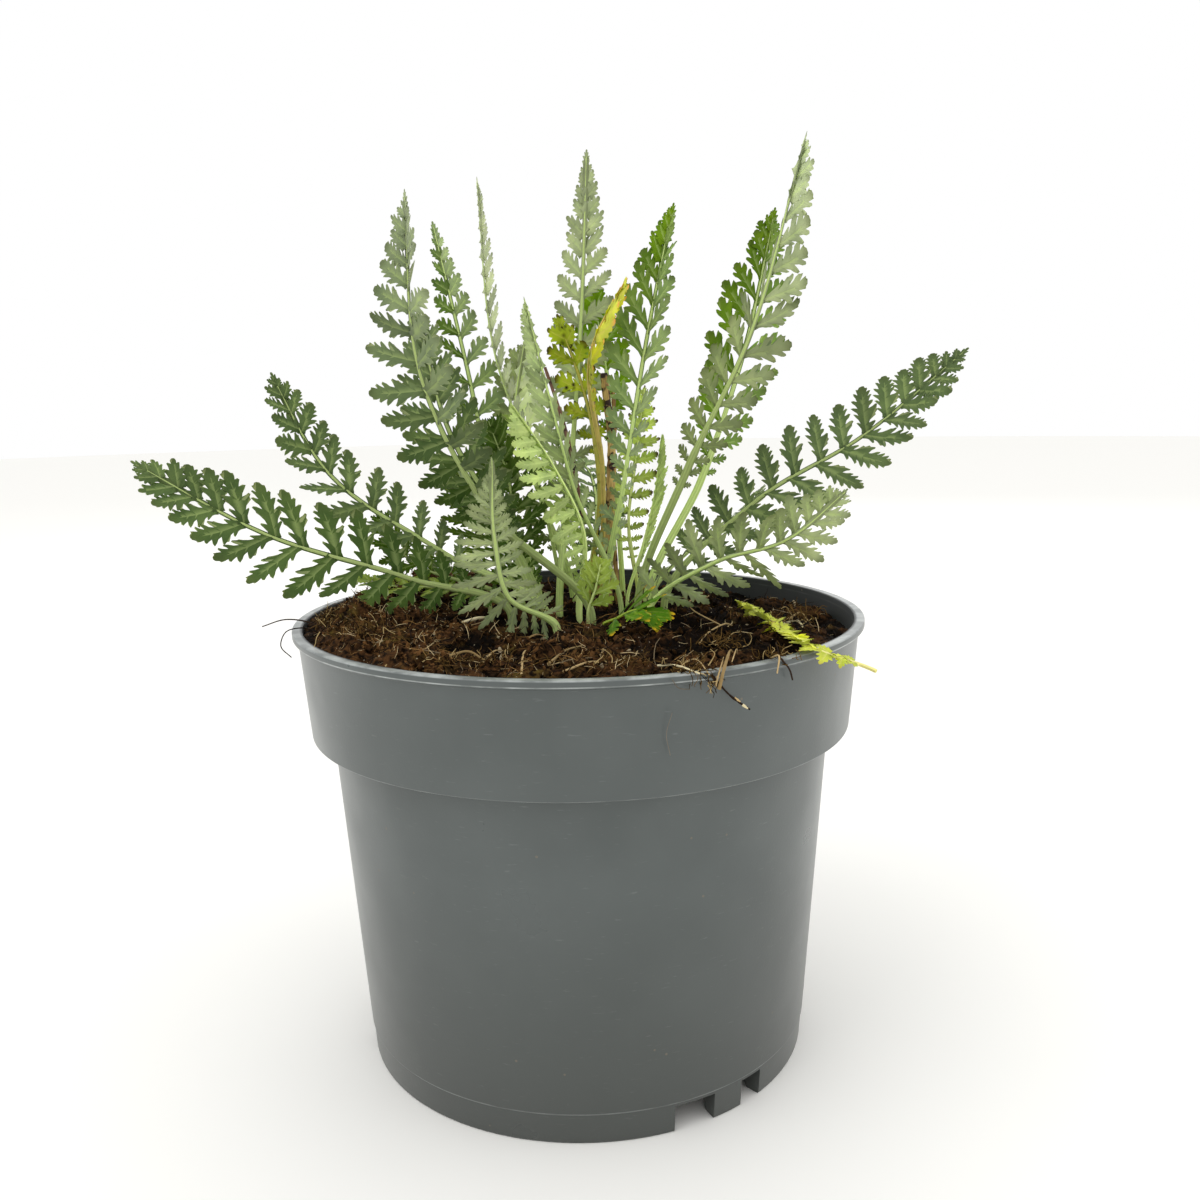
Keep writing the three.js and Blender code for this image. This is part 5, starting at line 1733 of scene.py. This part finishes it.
@dataclass
class SoilBed:
    """The root ball: lumpy peat, strewn with crumbs and fibres. Sizes in mm."""

    rings: int = 100
    sectors: int = 380
    bottom: float = 6.9
    bottom_radius: float = 65.0
    # Middle of the wet hollow at the right.
    hollow: Pair = (42.0, -8.0)

    def relief(self, x: float, y: float) -> float:
        """Works out the lumps and pits of the surface over the plain bed, and the heap at the left.

        Args:
            x: Distance to the right of the axis.
            y: Distance behind the axis.

        Returns:
            How far the surface stands over the bed.
        """
        spot = Vector((x, y, 3.7))
        # Clods some 9 mm across, ridges between them, and shreds of 2 mm that lie sideways.
        clods = noise.fractal(spot / 9.5, 0.9, 2.1, 4)
        ridges = 1 - abs(noise.noise(spot / 4.6)) * 2.4
        shreds = 1 - abs(noise.noise(Vector((x, y * 1.3, 9.1)) / 1.9)) * 2.6
        heap = smoothstep(-x, 36, 68) * (1 - smoothstep(hypot(x, y), 75, 81))
        return 3.9 * clods + 1.0 * ridges + 0.55 * shreds + 2.6 * heap - 0.8

    def dryness(self, x: float, y: float) -> float:
        """Works out how dry and mossy the surface is: most at the left and along the front.

        Args:
            x: Distance to the right of the axis.
            y: Distance behind the axis.

        Returns:
            Dryness, from 0 to 1.
        """
        left, front = smoothstep(-x, 5, 60), smoothstep(-y, 35, 68)
        wet = smoothstep(hypot(x - self.hollow[0], y - self.hollow[1]), 16, 58)
        return min(1.0, 0.1 + 0.65 * left + 0.6 * front) * mix(0.1, 1.0, wet)

    def bed(self) -> Object:
        """Makes the surface, the sides down inside the pot and the bottom as one closed mesh.

        Returns:
            The bed, with the values dry, litter and room at its corners.
        """
        places: list[Triple] = []
        dry: list[float] = []
        radii: list[float] = []

        def ring(radius: float, height: float | None = None) -> None:
            """Adds a ring of corners.

            Args:
                radius: Its radius.
                height: Its height, or nothing where it follows the surface.
            """
            for k in range(self.sectors):
                turn = tau * k / self.sectors
                x, y = radius * cos(turn), radius * sin(turn)
                rise = self.relief(x, y)
                fade = 1 - 0.75 * smoothstep(radius, 75, SOIL_EDGE)
                z = soil_height(x, y) + rise * fade if height is None else height
                places.append((x * MM, y * MM, z * MM))
                # The dry value also takes painted shade from the relief: pits between the clods darker,
                # crests lighter.
                dry.append(min(1.0, max(0.0, self.dryness(x, y) * 0.8 + 0.26 * rise)))
                radii.append(radius)

        for i in range(1, self.rings + 1):
            ring(SOIL_EDGE * i / self.rings)
        for radius, height in ((81.5, 124.0), (79.2, LEDGE + 1.6), (73.1, LEDGE + 0.9)):
            ring(radius, height)
        ring(self.bottom_radius, self.bottom)
        top, bottom = len(places), len(places) + 1
        places += [(0, 0, soil_height(0, 0) * MM), (0, 0, self.bottom * MM)]
        dry += [0.2, 0.0]
        radii += [0.0, 0.0]
        last = top - self.sectors
        faces: list[tuple[int, ...]] = []
        for k in range(self.sectors):
            n = (k + 1) % self.sectors
            faces += [(top, k, n), (bottom, last + n, last + k)]
            for a in range(0, last, self.sectors):
                b = a + self.sectors
                faces.append((a + k, b + k, b + n, a + n))
        mesh = bpy.data.meshes.new("soil_bed")
        mesh.from_pydata(places, [], faces)
        # Litter lies thicker where it is dry, stops at the collar, and gets smaller towards it.
        litter = [(0.12 + 0.88 * d) * (1 - smoothstep(r, 79.6, 80.6)) for d, r in zip(dry, radii)]
        room = [mix(1.0, 0.3, smoothstep(r, 71, 80)) for r in radii]
        for name, values in (("dry", dry), ("litter", litter), ("room", room)):
            keep_values(mesh, name, values)
        mesh.shade_smooth()
        mesh.materials.append(Peat().material())
        return set_down("soil_bed", mesh)

    def build(self) -> None:
        """Makes the bed with its litter, and puts it in the place of its node."""
        tree, bed = litter_tree(), self.bed()
        crumbs, lumps = LumpForms("crumb", 1, 0.25, 0.2).build(), LumpForms("clod", 2, 0.34, 0.45).build()
        fibres = FibreForms().build()
        clods = CLODS.strew(bed, "soil_", lumps, tree)
        for base, prefix in ((bed, "soil_"), (clods, "clod_")):
            for litter, forms in ((CRUMBS, crumbs), (FIBRES, fibres), (ROOTLETS, fibres)):
                hand_over(litter.strew(base, prefix, forms, tree))
        hand_over(clods)
        hand_over(bed, ("soil",))


# Stems, twig and stray roots


@dataclass(frozen=True)
class Strand:
    """A thin round piece along a path: thickness at its ends, and how knobbly it is. Sizes in mm."""

    path: tuple[Triple, ...]
    start: float
    end: float
    knobs: float = 0.0
    straight_foot: bool = False


@dataclass
class StrandBundle:
    """Several strands of one finish, made as one piece."""

    name: str
    strands: list[Strand]
    finish: Finish
    sides: int = 8
    steps: int = 10

    def guide(self) -> Object:
        """Lays out the points of every strand.

        Returns:
            The guide's object.
        """
        guide = Guide()
        for number, strand in enumerate(self.strands):
            draw = np.random.default_rng(300 + number)
            corners = [Vector(p) for p in strand.path]
            if strand.straight_foot:
                path = [corners[0], *smooth_path(corners[1:], Vector((0, 0, 0.9)), self.steps)]
            else:
                path = smooth_path(corners, (corners[1] - corners[0]).normalized(), self.steps)
            tint = (float(draw.random()), float(draw.random()), float(draw.random()))
            for i, place in enumerate(path):
                girth = mix(strand.start, strand.end, i / (len(path) - 1)) / 2
                girth *= 1 + strand.knobs * draw.uniform(-1, 1)
                guide.point(place * MM, join=i > 0, upward=(0, -1, 0.01), girth=girth * MM, tint=tint)
        return guide.build(self.name + "_guide")

    def build(self, tree: GeometryNodeTree) -> Object:
        """Sweeps the strands.

        Args:
            tree: Tree that sweeps a section along edges.

        Returns:
            The piece.
        """
        guide = self.guide()
        sizes = {"Girth": "girth", "Sides": self.sides, "Flatness": 1.0, "Part": 1.0}
        modify(guide, tree, {**sizes, "Material": self.finish.material()})
        return settle(guide, self.name)


OLD_STEMS = [
    Strand(((9, 22, 116), (9, 22, 133), (10, 20, 159), (11, 21, 181), (9, 22, 204)), 3.4, 2.4, 0.1, True),
    Strand(((12, 22, 116), (12, 22, 133), (11, 26, 174), (12, 27, 184), (12, 28, 198)), 1.8, 1.3, 0.12, True),
    Strand(((6, 26, 116), (6, 26, 133), (8, 23, 160), (8, 24, 177), (5, 26, 199)), 1.4, 1.0, 0.12, True),
]
DRY_TWIG = [
    Strand(((2, 11, STALK_FOOT), (2, 11, 135), (0, 12, 171), (-4, 13, 190), (-9, 14, 206)),
           1.4, 1.0, 0.1, True),
]
TAN_STRANDS = [
    Strand(((-13, -75, 132), (-13.4, -62, 133.5), (-13.2, -47, 132)), 0.7, 0.5),
    Strand(((-7, -67, 132.2), (-3, -57, 133.2), (2, -43, 131.6)), 0.9, 0.5),
    Strand(((-3, -74, 132), (2.4, -71, 133.4), (7, -64, 132)), 0.7, 0.4),
    Strand(((-15, -41.6, 132.5), (-12, -40.7, 134), (-8.7, -34.7, 132.5)), 0.7, 0.4),
    Strand(((-33, -23.4, 134.5), (-29.3, -23.7, 135.6), (-26, -18.4, 134.6)), 0.9, 1.2),
    Strand(((-23.3, -63.8, 132.5), (-21.2, -59.6, 134), (-18.7, -52, 132.5)), 0.6, 0.4),
    Strand(((-32, -60.7, 133.5), (-27.6, -61, 134.6), (-22.7, -64.7, 133)), 0.8, 0.6),
    Strand(((43, 37, 130), (41, 21, 132.4), (34.5, 8.3, 133.6), (34, -8.7, 134), (40.5, -26, 132.8)),
           0.45, 0.4, 0.15),
    Strand(((43.7, -25, 132.4), (41, -32, 134.4), (36, -39, 133.8), (32.2, -49, 132.6)), 0.55, 0.4, 0.15),
    Strand(((63.8, 0.5, 128.5), (68, 3.3, 130.2), (69.3, -3, 129)), 0.8, 0.5, 0.1),
    Strand(((59.8, -9.7, 129), (63.7, -13, 131), (65.4, -21.7, 129.6)), 0.9, 0.5, 0.1),
    Strand(((39, -66, 134.2), (37.6, -73, 136), (35.6, -79, 133.4), (34.2, -80.3, 128.6)), 0.7, 1.0, 0.12),
    Strand(((36.4, -70, 134), (35.4, -77, 134.4), (34, -80.2, 131.6), (33.4, -80.6, 129.4)), 0.4, 0.5, 0.15),
    Strand(((40.6, -63, 133), (39.4, -71, 136), (37.6, -77.6, 134.6)), 0.5, 0.3, 0.12),
    Strand(((48.7, -66, 132.6), (50, -70.6, 134), (49.4, -71.6, 130)), 0.6, 0.35, 0.1),
    Strand(((20, -72, 132.6), (25, -78.6, 134), (29.8, -80.9, 132.6)), 0.6, 0.35, 0.15),
    Strand(((27, -68, 132.6), (30, -76, 134.4), (32, -79.8, 132)), 0.4, 0.3, 0.15),
    Strand(((38.4, -76.6, 125.4), (39.8, -76, 124.2)), 0.7, 0.5, 0.3),
    Strand(((40.4, -75.6, 123.4), (41.8, -75, 122.2)), 0.8, 0.4, 0.3),
]
HAIRS = [
    Strand(((22.5, -80.3, 112.4), (21.6, -80.9, 118), (23, -81.2, 123.3)), 0.2, 0.16),
    Strand(((22.9, -83.4, 132), (24.4, -82, 129.6), (27.4, -79.9, 128.6)), 0.3, 0.25),
]
DARK_STRANDS = [
    Strand(((54.4, -36.7, 130.6), (51.3, -60, 133.4), (50.6, -69, 133.2), (53.6, -65.6, 129),
            (54.4, -64.6, 126.4)), 0.6, 0.45),
    Strand(((31, -74, 133.4), (33.6, -79.6, 130.6), (37.8, -77, 125.6), (42.4, -74.5, 121.8)), 0.7, 0.5, 0.3),
    Strand(((-70, -25, 132.6), (-76.9, -25, 136), (-82.8, -25, 136.7), (-89.5, -25, 134.8)), 0.5, 0.35),
    Strand(((-72, -25, 132), (-78.3, -25, 134.2), (-83, -25, 133), (-84.6, -25, 129), (-81.4, -26.5, 126)),
           0.4, 0.3),
]


@dataclass(frozen=True)
class MossTuft:
    """Ragged tuft of moss and coir, in mm: its middle, how many strands it has, how far their feet lie
    from the middle along each axis, the longest strand, and the way that most of them lean."""

    centre: Triple
    count: int
    spread: Triple
    reach: float
    heading: Triple

    def strands(self, seed: int) -> list[Strand]:
        """Draws the strands.

        Args:
            seed: Seed of the draws.

        Returns:
            The strands.
        """
        draw = np.random.default_rng(seed)
        centre, spread, heading = Vector(self.centre), Vector(self.spread), Vector(self.heading)
        strands = []
        for _ in range(self.count):
            spot = centre + Vector(spread[i] * draw.normal() * 0.5 for i in range(3))
            way = (heading + Vector(draw.normal(size=3)) * 0.8).normalized()
            step = self.reach * draw.uniform(0.12, 0.33)
            path = [tuple(spot)]
            for _ in range(3):
                spot = spot + way * step
                path.append(tuple(spot))
                way = (way + Vector(draw.normal(size=3)) * 0.55).normalized()
            strands.append(Strand(tuple(path), draw.uniform(0.16, 0.36), 0.14))
        return strands


MOSS_TUFTS = [
    MossTuft((28, -77.5, 132.8), 70, (5, 3, 1.2), 5.5, (0.3, -0.4, 0.1)),
    MossTuft((33, -79.5, 130.4), 22, (2.4, 0.8, 1.6), 4, (0.6, -0.1, -0.8)),
    MossTuft((38, -52, 133.4), 70, (7, 5, 1.0), 6, (0.6, 0.2, 0.5)),
    MossTuft((50, -64, 132.6), 40, (5, 4, 0.8), 5, (0, -0.3, 0.4)),
    MossTuft((-71, -22, 135.6), 60, (3, 9, 1.2), 5, (-0.3, -0.2, 0.5)),
    MossTuft((-58, -40, 136), 80, (9, 8, 1.2), 6, (0, -0.3, 0.6)),
    MossTuft((-25, -66, 133.2), 70, (16, 5, 0.8), 5, (0.2, -0.3, 0.5)),
    MossTuft((8, -68, 133), 70, (16, 5, 0.8), 5, (0.2, -0.3, 0.4)),
    MossTuft((64, -10, 131.4), 70, (8, 16, 1.0), 6, (-0.2, -0.1, 0.6)),
]


@dataclass
class OldGrowth:
    """Last year's stems on their buried rootstock, a flat knobbly cake, with the dry twig and whatever
    stray bits lie about. Sizes in mm."""

    centre: Pair = (3.0, 4.0)
    radius: float = 33.0
    # Share of the radius, and height, of each ring of the rootstock.
    rings: tuple[Pair, ...] = ((0.95, 121.0), (1.0, 116.5), (0.7, 112.0))
    sectors: int = 42

    def add_rootstock(self, piece: Object) -> None:
        """Adds the rootstock to the piece of the old stems.

        Args:
            piece: Mesh object of the stems.
        """
        form = bmesh.new()
        form.from_mesh(piece.data)
        rings = []
        for share, height in self.rings:
            ring = []
            for k in range(self.sectors):
                turn = tau * k / self.sectors
                radius = self.radius * share * (1 + 0.05 * sin(3 * turn) + 0.04 * cos(5 * turn))
                radius += 0.5 * sin(11 * turn + height)
                x, y = self.centre[0] + radius * cos(turn), self.centre[1] + radius * sin(turn)
                ring.append(form.verts.new(Vector((x, y, height)) * MM))
            rings.append(ring)
        form.faces.new(rings[0])
        form.faces.new(rings[-1][::-1])
        for upper, lower in zip(rings, rings[1:]):
            for k in range(self.sectors):
                n = (k + 1) % self.sectors
                form.faces.new((upper[k], lower[k], lower[n], upper[n]))
        form.to_mesh(piece.data)
        form.free()

    def build(self, tree: GeometryNodeTree) -> None:
        """Makes the stems, the twig and the stray bits.

        Args:
            tree: Tree that sweeps a section along edges.
        """
        stems = StrandBundle("old_stems", OLD_STEMS, DeadStem(), 12, 16).build(tree)
        self.add_rootstock(stems)
        hand_over(stems, ("rootstock_and_old_stems",))
        purple = DeadStem("purple_bark", "#5c3a34", "#86624c", "#2a1818")
        twig = StrandBundle("dry_twig_bark", DRY_TWIG, purple, 8, 14).build(tree)
        hand_over(twig, ("dry_twig",))
        tufts = [strand for number, tuft in enumerate(MOSS_TUFTS) for strand in tuft.strands(number)]
        for bundle in (
            StrandBundle("stray_straws", TAN_STRANDS, STRAW, 6),
            StrandBundle("stray_roots", DARK_STRANDS, DARK_ROOT, 6),
            StrandBundle("stray_hairs", HAIRS, GREY_HAIR, 6),
            StrandBundle("moss_tufts", tufts, DRY_MOSS, 4, 3),
        ):
            hand_over(bundle.build(tree))


# Studio


@dataclass
class Studio:
    """White sweep of paper, soft daylight from all round, and the camera of the photograph: its place and
    lens in mm, its turns in degrees. The rest is in metres."""

    camera_at: Triple = (6.0, -349.0, 200.2)
    pitch: float = 10.43
    yaw: float = 0.07
    roll: float = -1.11
    lens: float = 34.96
    sensor: float = 36.0
    clip: Pair = (0.01, 20.0)
    floor_radius: float = 4.0
    aim: Triple = (0.0, 0.0, 0.15)
    # Name, place and side of each soft box, and its power in watts.
    lamps: tuple[tuple[str, Triple, float, float], ...] = (
        ("key", (-0.7, -0.5, 1.3), 0.9, 4.0),
        ("fill_right", (1.1, -0.2, 0.7), 0.9, 1.5),
        ("back", (0.2, 1.2, 0.9), 1.2, 2.5),
    )

    def camera(self) -> None:
        """Sets the camera."""
        data = bpy.data.cameras.new("camera")
        data.lens = self.lens
        data.sensor_width = self.sensor
        data.clip_start, data.clip_end = self.clip
        camera = set_down("camera", data)
        pitch, yaw, roll = (radians(v) for v in (self.pitch, self.yaw, self.roll))
        look = Vector((sin(yaw) * cos(pitch), cos(yaw) * cos(pitch), -sin(pitch)))
        level = Vector((cos(yaw), -sin(yaw), 0))
        above = level.cross(look)
        right = level * cos(roll) + above * sin(roll)
        up = above * cos(roll) - level * sin(roll)
        turn = Matrix((right, up, -look)).transposed()
        camera.matrix_world = Matrix.Translation(Vector(self.camera_at) * MM) @ turn.to_4x4()
        bpy.context.scene.camera = camera

    def floor(self) -> None:
        """Lays the pale floor."""
        turns = [tau * k / 64 for k in range(64)]
        ring = [(self.floor_radius * cos(t), self.floor_radius * sin(t), 0.0) for t in turns]
        mesh = bpy.data.meshes.new("floor")
        mesh.from_pydata(ring, [], [tuple(range(64))])
        mesh.materials.append(StudioPaper().material())
        set_down("floor", mesh)

    def lamp(self, name: str, place: Triple, size: float, power: float) -> None:
        """Hangs one square soft box.

        Args:
            name: Name of the lamp.
            place: Where it hangs.
            size: Length of its side.
            power: Power in watts.
        """
        data = bpy.data.lights.new(name, "AREA")
        data.size = size
        data.energy = power
        lamp = set_down(name, data)
        lamp.location = place
        lamp.rotation_mode = "QUATERNION"
        lamp.rotation_quaternion = (Vector(self.aim) - Vector(place)).to_track_quat("-Z", "Y")

    def build(self) -> None:
        """Sets up camera, floor, lamps and sky."""
        self.camera()
        self.floor()
        for lamp in self.lamps:
            self.lamp(*lamp)
        world = bpy.data.worlds.new("daylight")
        world.use_nodes = True
        sky = world.node_tree.nodes["Background"]
        sky.inputs["Color"].default_value = (1, 1, 1, 1)
        sky.inputs["Strength"].default_value = 1.0
        bpy.context.scene.world = world
        bpy.context.scene.view_settings.view_transform = "Standard"


def main() -> None:
    """Builds every piece in order and reports it."""
    logging.basicConfig(level=logging.INFO, format="%(name)s: %(message)s")
    Studio().build()
    NurseryPot().build()
    SoilBed().build()
    strand = strand_tree()
    OldGrowth().build(strand)
    tree, forms = leaf_tree(strand), leaflet_forms()
    for number, plan in enumerate(LEAVES):
        Leaf.rooted(plan, number).build(tree, forms)
    Leaf.lying(WITHERED, len(LEAVES)).build(tree, forms)


if __name__ == "__main__":
    main()
